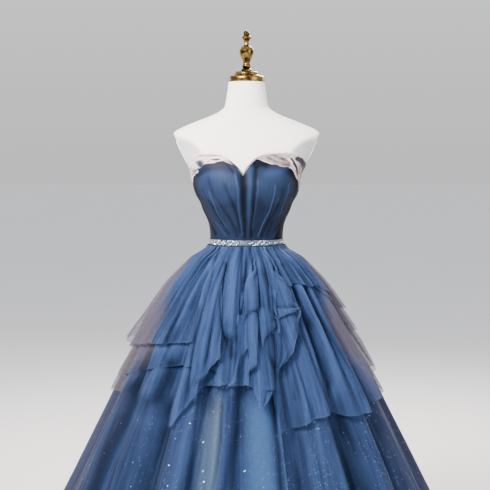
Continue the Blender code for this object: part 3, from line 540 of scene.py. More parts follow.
# The lower edge of the drape, by the angle away from the centre seam
DrapeLow = namedtuple("DrapeLow", "away left_z right_z")
DRAPE_LOW = (
    DrapeLow(0.0, 1.2490, 1.2490),
    DrapeLow(4.5, 1.2680, 1.2715),
    DrapeLow(10.4, 1.2795, 1.2930),
    DrapeLow(16.4, 1.2870, 1.2855),
    DrapeLow(22.0, 1.2840, 1.2810),
    DrapeLow(33.6, 1.2785, 1.2710),
    DrapeLow(49.0, 1.2630, 1.2690),
    DrapeLow(60.0, 1.2540, 1.2550),
    DrapeLow(72.6, 1.2450, 1.2310),
    DrapeLow(80.0, 1.2300, 1.2050),
    DrapeLow(88.0, 1.2260, 1.2090),
    DrapeLow(100.0, 1.2320, 1.2320),
    DrapeLow(135.0, 1.2120, 1.2120),
    DrapeLow(183.0, 1.1930, 1.1930),
)

# Painted highlights on the cups of the bodice: middle and half size of the lighter oval on each
Cup = namedtuple("Cup", "angle z wide tall")
CUP_HIGHLIGHTS = (Cup(-34.0, 1.218, 31.0, 0.054), Cup(33.0, 1.218, 27.0, 0.056))

# Where the form's front turns back towards each arm plate: half width of the crease at each height
CreasePoint = namedtuple("CreasePoint", "z half_width")
ARM_CREASE = (
    CreasePoint(1.2500, 0.1500),
    CreasePoint(1.2850, 0.1330),
    CreasePoint(1.3120, 0.1250),
    CreasePoint(1.3260, 0.1340),
    CreasePoint(1.3480, 0.1630),
    CreasePoint(1.3680, 0.2050),
)
ARM_CREASE_SLOPE = 0.42

# Turned profiles, from the top down, as radius and height
FINIAL_PROFILE = (
    (0.0000, 1.6545), (0.0060, 1.6535), (0.0087, 1.6490), (0.0087, 1.6410), (0.0137, 1.6370),
    (0.0137, 1.6345), (0.0088, 1.6290), (0.0062, 1.6230), (0.0070, 1.6150), (0.0150, 1.6080),
    (0.0205, 1.5995), (0.0200, 1.5920), (0.0160, 1.5820), (0.0112, 1.5720), (0.0097, 1.5630),
    (0.0120, 1.5570), (0.0120, 1.5530), (0.0100, 1.5500), (0.0158, 1.5455), (0.0158, 1.5403),
    (0.0000, 1.5403),
)
CAP_PROFILE = (
    (0.0000, 1.5400), (0.0310, 1.5400), (0.0338, 1.5375), (0.0338, 1.5320), (0.0380, 1.5290),
    (0.0480, 1.5275), (0.0507, 1.5245), (0.0507, 1.5145),
    (0.0495, NECK_TOP_Z + SEAM), (0.0000, NECK_TOP_Z + SEAM),
)

# Colour of a single layer of tulle, seen at the sides of the skirt, with a painted warm backlight
BACKLIT_SINGLE_TULLE = (0.195, 0.158, 0.168)

# Camera at the photograph's angle
CAMERA_ELEVATION = 4.0
CAMERA_DISTANCE = 3.5
CAMERA_TARGET = (-0.0043, 0.0, 1.05)
METRES_PER_PIXEL = 0.00285
FRAME_PIXELS = 490
SENSOR = 36.0


class FormSettings(bpy.types.PropertyGroup):
    jersey: FloatVectorProperty(
        name="Jersey", description="Colour of the form's cover", subtype="COLOR", default=(0.97, 0.95, 0.89)
    )
    brass: FloatVectorProperty(
        name="Brass", description="Colour of the cap and finial", subtype="COLOR",
        default=(0.36, 0.235, 0.085)
    )


class BodiceSettings(bpy.types.PropertyGroup):
    # Light and dark are the blues that the painted fold shade mixes between
    light: FloatVectorProperty(
        name="Light", description="Blue on the crown of a pleat", subtype="COLOR",
        default=(0.043, 0.070, 0.152)
    )
    dark: FloatVectorProperty(
        name="Dark", description="Blue in the trough of a pleat", subtype="COLOR",
        default=(0.0030, 0.0055, 0.0150)
    )
    sheer: FloatVectorProperty(
        name="Sheer", description="Sheer strip above the cups", subtype="COLOR", default=(0.030, 0.031, 0.051)
    )
    pleat_scale: FloatProperty(
        name="Pleat scale", description="Height of the pleats against those listed",
        default=1.0, min=0.0, max=1.2
    )
    blush: FloatVectorProperty(
        name="Blush", description="Sheer drape over the form", subtype="COLOR", default=(0.95, 0.80, 0.745)
    )


class BeltSettings(bpy.types.PropertyGroup):
    stone: FloatProperty(
        name="Stone", description="Width of a rhinestone", default=0.0046, min=0.002, max=0.006, unit="LENGTH"
    )


class SkirtSettings(bpy.types.PropertyGroup):
    # Light and dark are the blues that the painted fold shade mixes between
    light: FloatVectorProperty(
        name="Light", description="Blue on the crown of a fold", subtype="COLOR",
        default=(0.056, 0.092, 0.207)
    )
    dark: FloatVectorProperty(
        name="Dark", description="Blue in the trough of a fold", subtype="COLOR",
        default=(0.0092, 0.0165, 0.0410)
    )
    fine_gathers: IntProperty(
        name="Fine gathers", description="Gathers round the waist", default=54, min=20, max=90
    )
    broad_gathers: IntProperty(
        name="Broad gathers", description="Soft folds that the gathers run into", default=33, min=12, max=50
    )
    glitter: IntProperty(
        name="Glitter", description="Flakes of glitter a square metre", default=14000, min=0, max=30000
    )
    flake: FloatProperty(
        name="Flake", description="Radius of a flake", default=0.00052, min=0.0003, max=0.003, unit="LENGTH"
    )


class StudioSettings(bpy.types.PropertyGroup):
    key: FloatProperty(name="Key", description="Power of the key light", default=338.0, min=0.0, unit="POWER")
    fill: FloatProperty(
        name="Fill", description="Power of the fill light", default=32.0, min=0.0, unit="POWER"
    )
    rim: FloatProperty(name="Rim", description="Power of each rim light", default=16.0, min=0.0, unit="POWER")
    world: FloatProperty(name="World", description="Strength of the surroundings", default=1.0, min=0.0)


# Curves and grids


def column(table, key, name):
    rows = sorted(table, key=lambda row: getattr(row, key))
    return np.array([getattr(r, key) for r in rows]), np.array([getattr(r, name) for r in rows])


def smooth(table, key, name, x):
    """A smooth curve through a table's column, which doesn't overshoot it."""
    xs, ys = column(table, key, name)
    steps = np.diff(ys) / np.diff(xs)
    slopes = np.zeros(len(xs))
    slopes[0], slopes[-1] = steps[0], steps[-1]
    same = steps[:-1] * steps[1:] > 0
    both = np.where(same, steps[:-1] + steps[1:], 1.0)
    slopes[1:-1] = np.where(same, 2 * steps[:-1] * steps[1:] / both, 0.0)
    x = np.clip(x, xs[0], xs[-1])
    i = np.clip(np.searchsorted(xs, x) - 1, 0, len(xs) - 2)
    width = xs[i + 1] - xs[i]
    t = (x - xs[i]) / width
    start = (1 + 2 * t) * (1 - t) ** 2 * ys[i] + t * (1 - t) ** 2 * width * slopes[i]
    return start + t * t * (3 - 2 * t) * ys[i + 1] + t * t * (t - 1) * width * slopes[i + 1]


def straight(table, key, name, x):
    """Straight lines through a table's column, for hems that keep their corners."""
    return np.interp(x, *column(table, key, name))


def rounded(value):
    return np.sign(value) * np.abs(value) ** (2 / SQUARENESS)


def stacked(x, y, z):
    return np.stack(np.broadcast_arrays(x, y, z), axis=-1)


def torso_point(angle, z):
    """Points of the dress form, cut off at the sides by the planes of the arm plates."""
    turn = np.radians(angle)
    half_width = smooth(TORSO, "z", "half_width", z)
    depth = np.where(np.cos(turn) > 0, smooth(TORSO, "z", "front", z), smooth(TORSO, "z", "back", z))
    x = half_width * rounded(np.sin(turn))
    y = -depth * rounded(np.cos(turn))
    (low_x, low_z), (high_x, high_z) = ARM_CUT_LOW, ARM_CUT_HIGH
    widest = low_x + (z - low_z) * (high_x - low_x) / (high_z - low_z)
    x = np.where(z > low_z, np.clip(x, -widest, widest), x)
    across = (np.abs((angle + 180) % 360 - 180) - BUST_ANGLE) / BUST_SPREAD
    along = (z - BUST_Z) / BUST_TALL
    return stacked(x, y - BUST_HEIGHT * np.exp(-across * across - along * along), z)


def worn_point(angle, z):
    """The surface that the bodice is worn on: the torso, with the hollow between the cups bridged."""
    along = (z - BUST_Z) / BUST_TALL
    bridge = BRIDGE_DEPTH * np.exp(-((angle / BRIDGE_SPREAD) ** 2) - along * along)
    return torso_point(angle, z) - stacked(0.0, bridge, 0.0)


def clearance(z):
    ease = np.clip((z - BODICE_LOW) / CLEARANCE_EASE, 0.0, 1.0)
    return WAIST_CLEARANCE + (BODICE_CLEARANCE - WAIST_CLEARANCE) * ease


def drawn(lines, angle, z, radius):
    """The summed heights of lines at each point, each line soft across. The back mirrors the front."""
    angle, z = np.broadcast_arrays(angle, z)
    turned = (angle + 90.0) % 360.0 - 90.0
    turned = np.where(turned > 90.0, 180.0 - turned, turned)
    across = np.radians(turned) * radius(z)
    total = np.zeros(turned.shape)
    for line in lines:
        turns, heights = np.array(line.points).T
        reach = 2.6 * line.width
        close = (z > heights.min() - reach) & (z < heights.max() + reach)
        close &= (turned > turns.min() - 14.0) & (turned < turns.max() + 14.0)
        x, y = across[close], z[close]
        corners = np.stack((np.radians(turns) * radius(heights), heights), axis=-1)
        nearest = np.full(x.shape, np.inf)
        for start, run in zip(corners[:-1], np.diff(corners, axis=0)):
            part = np.clip(((x - start[0]) * run[0] + (y - start[1]) * run[1]) / run.dot(run), 0.0, 1.0)
            away = np.hypot(x - start[0] - part * run[0], y - start[1] - part * run[1])
            nearest = np.minimum(nearest, away)
        total[close] += line.height * np.exp(-((nearest / line.width) ** 2))
    return total


def bodice_radius(z):
    return 0.10 + 0.2 * np.clip(z - 1.06, 0.0, 0.2)


def skirt_radius(z):
    return smooth(SKIRT, "z", "half_width", z)


def normals_of(point_at, angle, z):
    step_angle, step_z = 0.8, 0.002
    along = point_at(angle + step_angle, z) - point_at(angle - step_angle, z)
    up = point_at(angle, z + step_z) - point_at(angle, z - step_z)
    out = np.cross(along, up)
    return out / np.linalg.norm(out, axis=-1, keepdims=True)


def moved_out(point_at, angle, z, distance):
    """Points of a surface, moved out by a distance along the surface's own normals."""
    return point_at(angle, z) + np.expand_dims(distance, -1) * normals_of(point_at, angle, z)


def grid_mesh(name, points, closed=False, **attributes):
    """A sheet of quads through a grid of points, top row first, with its cloth lengths as UVs."""
    rows, columns = points.shape[:2]
    index = np.arange(rows * columns).reshape(rows, columns)
    nxt = np.roll(index, -1, axis=1)
    spans = columns if closed else columns - 1
    faces = np.stack((index[:-1], index[1:], nxt[1:], nxt[:-1]), axis=-1)[:, :spans].reshape(-1, 4)
    mesh = bpy.data.meshes.new(name)
    mesh.from_pydata(points.reshape(-1, 3).tolist(), [], faces.tolist())
    for key, values in attributes.items():
        layer = mesh.attributes.new(key, "FLOAT", "POINT")
        layer.data.foreach_set("value", np.broadcast_to(values, (rows, columns)).astype(np.float32).ravel())
    along = np.linalg.norm(np.diff(points, axis=1, append=points[:, :1]), axis=-1)
    across = np.concatenate((np.zeros((rows, 1)), np.cumsum(along, axis=1)), axis=1)
    down = np.cumsum(np.linalg.norm(np.diff(points, axis=0, prepend=points[:1]), axis=-1), axis=0)
    down = np.concatenate((down, down[:, :1]), axis=1)
    uv = np.stack((across - across[:, -1:] / 2, down), axis=-1)
    corners = ((0, 0), (1, 0), (1, 1), (0, 1))
    quads = np.stack([uv[r:rows - 1 + r, c:spans + c] for r, c in corners], axis=2)
    mesh.uv_layers.new(name="Cloth").data.foreach_set("uv", quads.astype(np.float32).ravel())
    mesh.shade_smooth()
    return mesh


def add_piece(name, mesh, material, slot, *nodes):
    """A finished piece of the object, which stands for the frame's nodes of the same shape."""
    obj = bpy.data.objects.new(name, mesh)
    bpy.context.scene.collection.objects.link(obj)
    mesh.materials.clear()
    mesh.materials.append(material)
    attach(obj, BODY)
    if nodes:
        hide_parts(*nodes)
    return obj


# Materials


class Wire:
    """A socket of a shader. Arithmetic on it adds Math nodes."""

    def __init__(self, tree, socket):
        self.tree, self.socket = tree, socket

    def _math(self, operation, first, second):
        node = self.tree.nodes.new("ShaderNodeMath")
        node.operation = operation
        for place, value in enumerate((first, second)):
            if isinstance(value, Wire):
                self.tree.links.new(value.socket, node.inputs[place])
            else:
                node.inputs[place].default_value = value
        return Wire(self.tree, node.outputs[0])

    def __add__(self, other):
        return self._math("ADD", self, other)

    __radd__ = __add__

    def __sub__(self, other):
        return self._math("SUBTRACT", self, other)

    def __rsub__(self, other):
        return self._math("SUBTRACT", other, self)

    def __mul__(self, other):
        return self._math("MULTIPLY", self, other)

    __rmul__ = __mul__

    def __truediv__(self, other):
        return self._math("DIVIDE", self, other)

    def __pow__(self, other):
        return self._math("POWER", self, other)


class Finish:
    """A material built round one Principled shader."""

    def __init__(self, name, **sockets):
        self.material = bpy.data.materials.new(name)
        self.material.use_nodes = True
        self.tree = self.material.node_tree
        self.shader = self.tree.nodes["Principled BSDF"]
        for key, value in sockets.items():
            socket = self.shader.inputs[key.replace("_", " ")]
            socket.default_value = (*value, 1.0) if hasattr(value, "__len__") else value

    def add(self, kind, settings=None, output=0, **values):
        """A node of any type. Its settings are set first, then its sockets' values or links."""
        node = self.tree.nodes.new(kind)
        for key, value in (settings or {}).items():
            if key == "stops":
                for stop, (place, level) in zip(node.color_ramp.elements, value):
                    stop.position = place
                    stop.color = (level, level, level, 1.0)
            else:
                setattr(node, key, value)
        for key, value in values.items():
            socket = node.inputs[int(key[1:])] if key[0] == "i" and key[1:].isdigit() else node.inputs[key]
            if isinstance(value, Wire):
                self.tree.links.new(value.socket, socket)
            else:
                socket.default_value = value
        return Wire(self.tree, node.outputs[output])

    def feed(self, name, wire):
        self.tree.links.new(wire.socket, self.shader.inputs[name])

    def attribute(self, name):
        return self.add("ShaderNodeAttribute", {"attribute_name": name}, output=2)

    def cloth_place(self):
        return self.add("ShaderNodeUVMap", {"uv_map": "Cloth"})

    def object_place(self):
        return self.add("ShaderNodeTexCoord", output=3)

    def noise(self, place, scale, detail=2.0, rough=0.5):
        return self.add("ShaderNodeTexNoise", i0=place, Scale=scale, Detail=detail, Roughness=rough)

    def fall(self, fine, long):
        """Noise in streaks that run down the cloth: fine round the figure and long in its fall."""
        place = self.object_place()
        turn = self.add("ShaderNodeVectorMath", {"operation": "MULTIPLY"}, i0=place, i1=(1.0, 1.1, 0.0))
        turn = self.add("ShaderNodeVectorMath", {"operation": "NORMALIZE"}, i0=turn)
        turn = self.add("ShaderNodeVectorMath", {"operation": "SCALE"}, i0=turn, Scale=fine)
        height = self.add("ShaderNodeVectorMath", {"operation": "MULTIPLY"}, i0=place, i1=(0.0, 0.0, long))
        place = self.add("ShaderNodeVectorMath", {"operation": "ADD"}, i0=turn, i1=height)
        return self.noise(place, 1.0, 4.0, 0.66)

    def clamped(self, value):
        return self.add("ShaderNodeClamp", i0=value)

    def mix(self, share, first, second):
        """A colour between two colours."""
        return self.add("ShaderNodeMix", {"data_type": "RGBA"}, output=2, i0=share, i6=first, i7=second)

    def bump(self, height, distance, strength=1.0):
        self.feed("Normal", self.add("ShaderNodeBump", Height=height, Distance=distance, Strength=strength))

    def net(self, cell=0.0013):
        """The threads of tulle: near 1 on a thread and 0 in a hole."""
        cells = self.add(
            "ShaderNodeTexVoronoi", {"feature": "DISTANCE_TO_EDGE", "voronoi_dimensions": "2D"},
            i0=self.cloth_place(), Scale=1 / cell, Randomness=0.25,
        )
        return 1 - self.clamped(cells * 5.0)


def colour(value):
    return (*value, 1.0)


def tulle(name, light, dark, streaks, backlit_single):
    """Sheer gathered tulle: streaked in its fall, painted shade in its folds, painted edge highlights, and
    greyer with a painted warm backlight where it lies single.
    """
    finish = Finish(
        name, Roughness=0.74, Sheen_Weight=0.14, Sheen_Roughness=0.35, Sheen_Tint=(0.80, 0.88, 1.0),
        Specular_IOR_Level=0.12,
    )
    place = finish.object_place()
    cloud = finish.noise(place, 9.0, 3.0)
    grain = finish.noise(place, 260.0, 2.0)
    fall = finish.fall(40.0, 4.5)
    # Painted shade: the fold attribute mixes the dark blue into the valleys and the light blue onto the
    # ridges
    depth = finish.clamped(
        0.51 + finish.attribute("fold") * 0.42 + (cloud - 0.5) * 0.30 + (fall - 0.5) * streaks
        + (grain - 0.5) * 0.40
    )
    cloth = finish.mix(depth, colour(dark), colour(light))
    # Painted highlight along the cut and folded edges
    cloth = finish.mix(finish.attribute("edge") * (0.3 + 0.9 * cloud), cloth, (0.11, 0.17, 0.30, 1))
    # Painted warm backlight where the tulle lies single at the sides
    cloth = finish.mix(finish.attribute("rim") * (0.35 + 0.55 * fall), cloth, colour(backlit_single))
    finish.feed("Base Color", cloth)
    finish.feed("Alpha", finish.clamped(1 - finish.attribute("clear") * (0.8 + 0.4 * depth)))
    finish.bump(fall + 0.10 * finish.net(), 0.0014, 0.5)
    return finish.material


def bodice_cloth(settings):
    """Pleated tulle over an opaque base, between a dark and a light blue by the painted shade of the fold
    attribute: painted highlights on the cups, painted navy shade at the sides, and sheer along the top.
    """
    finish = Finish("Pleated bodice", Roughness=0.60, Specular_IOR_Level=0.18)
    fold = finish.attribute("fold")
    cloud = finish.noise(finish.object_place(), 34.0, 4.0)
    fall = finish.fall(60.0, 9.0)
    depth = finish.clamped(0.36 + fold * 0.33 + (cloud - 0.5) * 0.16 + (fall - 0.5) * 0.39)
    cloth = finish.mix(depth, colour(settings.dark), colour(settings.light))
    finish.feed("Base Color", finish.mix(finish.attribute("sheer"), cloth, colour(settings.sheer)))
    finish.bump(finish.net(), 0.0001, 0.2)
    return finish.material


def drape_cloth(settings):
    """Folded sheer tulle: blush over the form, with painted grey shade in its folds, and blue where the
    bodice shows.
    """
    finish = Finish("Sheer drape", Roughness=0.55, Sheen_Weight=0.3, Specular_IOR_Level=0.3)
    cloud = finish.noise(finish.object_place(), 60.0, 4.0)
    depth = finish.clamped(0.66 + finish.attribute("fold") * 0.48 + (cloud - 0.5) * 0.5)
    cloth = finish.mix(depth, (0.035, 0.030, 0.042, 1), colour(settings.blush))
    blue = finish.mix(depth, (0.004, 0.007, 0.018, 1), (0.14, 0.16, 0.27, 1))
    finish.feed("Base Color", finish.mix(finish.clamped(finish.attribute("over")), cloth, blue))
    finish.feed("Alpha", finish.clamped(finish.attribute("solid")))
    finish.bump(finish.net(0.0012), 0.0002, 0.35)
    return finish.material


def satin():
    finish = Finish("Lining satin", Roughness=0.34, Specular_IOR_Level=0.5, Sheen_Weight=0.1)
    cloud = finish.noise(finish.object_place(), 5.0, 2.0)
    blue = finish.mix(cloud, (0.09, 0.21, 0.43, 1), (0.15, 0.32, 0.60, 1))
    # Painted highlight: a paler grey-blue down the pale column
    finish.feed("Base Color", finish.mix(finish.attribute("pale"), blue, (0.24, 0.37, 0.48, 1)))
    weave = finish.add("ShaderNodeTexWave", {"bands_direction": "X"}, i0=finish.cloth_place(), Scale=900.0)
    finish.bump(weave, 0.00005, 0.3)
    return finish.material


def jersey(settings):
    finish = Finish("Form jersey", Roughness=0.85, Sheen_Weight=0.2, Specular_IOR_Level=0.25)
    place = finish.object_place()
    cloud = finish.noise(place, 7.0, 3.0)
    shade = tuple(0.93 * c for c in settings.jersey)
    cloth = finish.mix(cloud, colour(shade), colour(settings.jersey))
    # Painted grey shade where the front turns back towards the arm plates
    finish.feed("Base Color", finish.mix(finish.attribute("facet") * 0.75, cloth, (0.50, 0.49, 0.52, 1)))
    finish.bump(finish.noise(place, 900.0, 1.0), 0.0002, 0.25)
    return finish.material


def brass(settings):
    finish = Finish("Antique brass", Metallic=1.0, Roughness=0.24)
    cloud = finish.noise(finish.object_place(), 60.0, 4.0)
    dark = tuple(0.06 * c for c in settings.brass)
    polished = finish.clamped(cloud * 3.2 - 1.05)
    finish.feed("Base Color", finish.mix(polished, colour(dark), colour(settings.brass)))
    finish.feed("Roughness", 0.16 + cloud * 0.22)
    return finish.material


def paint():
    finish = Finish("Stand paint", Roughness=0.38)
    cloud = finish.noise(finish.object_place(), 300.0, 2.0)
    finish.feed("Base Color", finish.mix(cloud, (0.70, 0.70, 0.68, 1), (0.80, 0.80, 0.78, 1)))
    finish.bump(cloud, 0.0001, 0.3)
    return finish.material


def stone_glass():
    """Cut glass: a stone is painted bright, blue or nearly black by a noise over its place, with painted
    glints that shine by emission; its real reflections follow the way that it is turned.
    """
    finish = Finish("Rhinestone", Metallic=0.7, Roughness=0.08)
    cloud = finish.noise(finish.object_place(), 330.0, 0.0)
    painted_sparkle = finish.clamped(cloud * 6 - 2.6)
    finish.feed("Base Color", finish.mix(painted_sparkle, (0.03, 0.04, 0.07, 1), (1.0, 1.0, 1.0, 1)))
    painted_glint = finish.clamped(cloud * 9 - 5.1)
    finish.feed("Emission Color", finish.mix(painted_glint, (0, 0, 0, 1), (0.9, 0.95, 1.0, 1)))
    finish.shader.inputs["Emission Strength"].default_value = 0.8
    return finish.material


def ribbon_satin():
    finish = Finish("Belt ribbon", Roughness=0.4)
    cloud = finish.noise(finish.object_place(), 200.0, 2.0)
    finish.feed("Base Color", finish.mix(cloud, (0.016, 0.022, 0.040, 1), (0.15, 0.20, 0.29, 1)))
    return finish.material


def glitter_flake():
    # Painted sparkle: the flakes shine by emission as well as reflecting the lamps
    finish = Finish(
        "Glitter", Base_Color=(0.85, 0.92, 1.0), Metallic=0.9, Roughness=0.2,
        Emission_Color=(0.75, 0.86, 1.0), Emission_Strength=0.45,
    )
    cloud = finish.noise(finish.object_place(), 90.0, 0.0)
    finish.feed("Base Color", finish.mix(cloud, (0.45, 0.60, 0.85, 1), (1.0, 1.0, 1.0, 1)))
    return finish.material


# Geometry Nodes trees


class NodeTree:
    """A Geometry Nodes tree with named inputs."""

    def __init__(self, name, **numbers):
        self.tree = bpy.data.node_groups.new(name, "GeometryNodeTree")
        self.tree.interface.new_socket("Geometry", in_out="INPUT", socket_type="NodeSocketGeometry")
        for key, kind in numbers.items():
            self.tree.interface.new_socket(key.replace("_", " "), in_out="INPUT", socket_type=kind)
        self.tree.interface.new_socket("Geometry", in_out="OUTPUT", socket_type="NodeSocketGeometry")
        self.start = self.tree.nodes.new("NodeGroupInput")
        self.end = self.tree.nodes.new("NodeGroupOutput")

    def add(self, kind, settings=None, **values):
        node = self.tree.nodes.new(kind)
        for key, value in (settings or {}).items():
            setattr(node, key, value)
        for key, value in values.items():
            socket = node.inputs[int(key[1:])] if key[0] == "i" and key[1:].isdigit() else node.inputs[key]
            if isinstance(value, bpy.types.NodeSocket):
                self.tree.links.new(value, socket)
            else:
                socket.default_value = value
        return node

    def finish(self, geometry, material):
        """Ends the tree in Realize Instances and Set Material."""
        real = self.add("GeometryNodeRealizeInstances", i0=geometry)
        coloured = self.add("GeometryNodeSetMaterial", i0=real.outputs[0], Material=material)
        self.tree.links.new(coloured.outputs[0], self.end.inputs[0])


def run_tree(name, mesh, tree, **inputs):
    """A plain mesh made by a Geometry Nodes tree from a start mesh."""
    obj = bpy.data.objects.new(name, mesh)
    bpy.context.scene.collection.objects.link(obj)
    modifier = obj.modifiers.new("Nodes", "NODES")
    modifier.node_group = tree
    sockets = {item.name: item.identifier for item in tree.interface.items_tree if item.in_out == "INPUT"}
    for key, value in inputs.items():
        modifier[sockets[key.replace("_", " ")]] = value
    bpy.context.view_layer.update()
    graph = bpy.context.evaluated_depsgraph_get()
    made = bpy.data.meshes.new_from_object(obj.evaluated_get(graph), depsgraph=graph)
    bpy.data.objects.remove(obj, do_unlink=True)
    return made


def stone_tree(material):
    """Puts a faceted stone on every point, turned to the point's outward direction."""
    nodes = NodeTree("Stones", Stone="NodeSocketFloat")
    stone = nodes.add("GeometryNodeMeshCone", i0=7, i3=0.50, i4=1.0, i5=0.85)
    out = nodes.add("GeometryNodeInputNamedAttribute", {"data_type": "FLOAT_VECTOR"}, Name="out")
    size = nodes.add("GeometryNodeInputNamedAttribute", {"data_type": "FLOAT"}, Name="size")
    turn = nodes.add("FunctionNodeAlignRotationToVector", {"axis": "Z"}, Vector=out.outputs[0])
    tilt = nodes.add(
        "FunctionNodeRandomValue", {"data_type": "FLOAT_VECTOR"}, i0=(-0.35,) * 3, i1=(0.35,) * 3
    )
    turn = nodes.add("FunctionNodeRotateRotation", i0=turn.outputs[0], i1=tilt.outputs[0])
    scale = nodes.add(
        "ShaderNodeMath", {"operation": "MULTIPLY"}, i0=size.outputs[0], i1=nodes.start.outputs[1]
    )
    placed = nodes.add(
        "GeometryNodeInstanceOnPoints", Points=nodes.start.outputs[0], Instance=stone.outputs[0],
        Rotation=turn.outputs[0], Scale=scale.outputs[0],
    )
    nodes.finish(placed.outputs[0], material)
    return nodes.tree


def glitter_tree(material):
    """Scatters small hexagonal flakes over a surface, each a little tilted and off the cloth."""
    nodes = NodeTree("Glitter", Density="NodeSocketFloat", Flake="NodeSocketFloat", Seed="NodeSocketInt")
    weight = nodes.add("GeometryNodeInputNamedAttribute", {"data_type": "FLOAT"}, Name="glitter")
    density = nodes.add(
        "ShaderNodeMath", {"operation": "MULTIPLY"}, i0=weight.outputs[0], i1=nodes.start.outputs[1]
    )
    points = nodes.add(
        "GeometryNodeDistributePointsOnFaces", Mesh=nodes.start.outputs[0], Density=density.outputs[0],
        Seed=nodes.start.outputs[3],
    )
    lifted = nodes.add("ShaderNodeVectorMath", {"operation": "SCALE"}, i0=points.outputs[1], Scale=0.0008)
    moved = nodes.add("GeometryNodeSetPosition", Geometry=points.outputs[0], Offset=lifted.outputs[0])
    flake = nodes.add("GeometryNodeMeshCircle", {"fill_type": "NGON"}, Vertices=6, Radius=1.0)
    tilt = nodes.add("FunctionNodeRandomValue", {"data_type": "FLOAT_VECTOR"}, i0=(-0.5,) * 3, i1=(0.5,) * 3)
    turn = nodes.add("FunctionNodeRotateRotation", i0=points.outputs[2], i1=tilt.outputs[0])
    size = nodes.add("FunctionNodeRandomValue", {"data_type": "FLOAT"}, i2=0.5, i3=1.25)
    scale = nodes.add(
        "ShaderNodeMath", {"operation": "MULTIPLY"}, i0=size.outputs[1], i1=nodes.start.outputs[2]
    )
    placed = nodes.add(
        "GeometryNodeInstanceOnPoints", Points=moved.outputs[0], Instance=flake.outputs[0],
        Rotation=turn.outputs[0], Scale=scale.outputs[0],
    )
    nodes.finish(placed.outputs[0], material)
    return nodes.tree


# The form and its stand


def turned_mesh(name, profile, steps):
    """A turned shape from a rounded profile, top to bottom."""
    angles = np.linspace(0.0, 2 * np.pi, steps, endpoint=False)
    radii = np.array([p[0] for p in profile])
    heights = np.array([p[1] for p in profile])
    lengths = np.concatenate(([0.0], np.cumsum(np.hypot(np.diff(radii), np.diff(heights)))))
    places = np.sort(np.concatenate((lengths, np.linspace(0.0, lengths[-1], 3 * len(profile)))))
    radii = np.interp(places, lengths, radii)
    heights = np.interp(places, lengths, heights)
    points = stacked(radii[:, None] * np.sin(angles), -radii[:, None] * np.cos(angles), heights[:, None])
    mesh = grid_mesh(name, points, closed=True)
    return mesh


def welded(mesh, distance=0.00001):
    """Joins the points that lie in one place, as at the tip of a turned shape."""
    bm = bmesh.new()
    bm.from_mesh(mesh)
    bmesh.ops.remove_doubles(bm, verts=bm.verts, dist=distance)
    bm.to_mesh(mesh)
    bm.free()
    return mesh


class PROM_OT_form(bpy.types.Operator):
    """Make the torso, arm plates, cap, finial and stand"""

    bl_idname = "prom.form"
    bl_label = "Dress form"

    def execute(self, context):
        settings = context.scene.prom_form
        cloth = jersey(settings)
        heights = np.concatenate([
            np.linspace(a.z, b.z, 4, endpoint=False) for a, b in zip(TORSO[::-1], TORSO[-2::-1])
        ] + [[TORSO[0].z]])
        angles = np.arange(0.0, 360.0, 2.0)
        points, facet = creased(torso_point(angles[None, :], heights[:, None]))
        mesh = grid_mesh("Torso", points, closed=True, facet=facet)
        columns = len(angles)
        mesh = with_caps(mesh, columns, len(heights))
        add_piece("Torso", mesh, cloth, "form_fabric", "form_torso")
        for side in ("left", "right"):
            self.dress("arm_plate_" + side, cloth)
        metal = brass(settings)
        turnings = (("Finial", FINIAL_PROFILE, "finial"), ("Neck cap", CAP_PROFILE, "neck_cap"))
        for name, profile, node in turnings:
            mesh = welded(turned_mesh(name, profile, 64))
            mesh.set_sharp_from_angle(angle=math.radians(50))
            add_piece(name.replace(" ", "_"), mesh, metal, "brass", node)
        for node in ("stand_pole", "stand_base"):
            self.dress(node, paint())
        return {"FINISHED"}

    @staticmethod
    def dress(node, material):
        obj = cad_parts[node]
        for slot in obj.material_slots:
            slot.material = material


def creased(points):
    """Turns the form's front back towards the arm plates, from a soft crease, and returns a painted shade for
    the turned part.
    """
    x, y, z = np.moveaxis(points, -1, 0)
    past = np.abs(x) - smooth(ARM_CREASE, "z", "half_width", z)
    soft = 0.5 * (past + np.sqrt(past * past + 0.004 ** 2))
    inside = (z > ARM_CREASE[0].z) & (z < ARM_CREASE[-1].z)
    ease = np.clip((z - ARM_CREASE[0].z) / 0.02, 0, 1) * np.clip((ARM_CREASE[-1].z - z) / 0.03, 0, 1)
    front = np.clip(-y / 0.03, 0.0, 1.0)
    facet = np.where(inside, np.clip(past / 0.009 + 0.3, 0.0, 1.0) * front * ease, 0.0)
    return stacked(x, y + np.where(inside, ARM_CREASE_SLOPE * soft * ease * front, 0.0), z), facet


def with_caps(mesh, columns, rows):
    """Closes the first and last ring of a tube."""
    bm = bmesh.new()
    bm.from_mesh(mesh)
    bm.verts.ensure_lookup_table()
    bm.faces.new(bm.verts[:columns])
    bm.faces.new(reversed(bm.verts[(rows - 1) * columns:rows * columns]))
    bm.to_mesh(mesh)
    bm.free()
    mesh.set_sharp_from_angle(angle=math.radians(40))
    return mesh


# Bodice, drape and belt


def drape_top(angle):
    """Height of the drape's top edge, which dips to a V at the centre seam."""
    away = angle - CENTRE_SEAM
    right = smooth(NECKLINE, "away", "right_z", np.abs(away))
    left = smooth(NECKLINE, "away", "left_z", np.abs(away))
    return np.where(away >= 0, right, left)


def drape_low(angle):
    """Height of the drape's lower edge."""
    away = np.abs(angle - CENTRE_SEAM)
    right = smooth(DRAPE_LOW, "away", "right_z", away)
    return np.where(angle >= CENTRE_SEAM, right, smooth(DRAPE_LOW, "away", "left_z", away))


def bodice_top(angle):
    return drape_top(angle) - TUCKED_UNDER_DRAPE


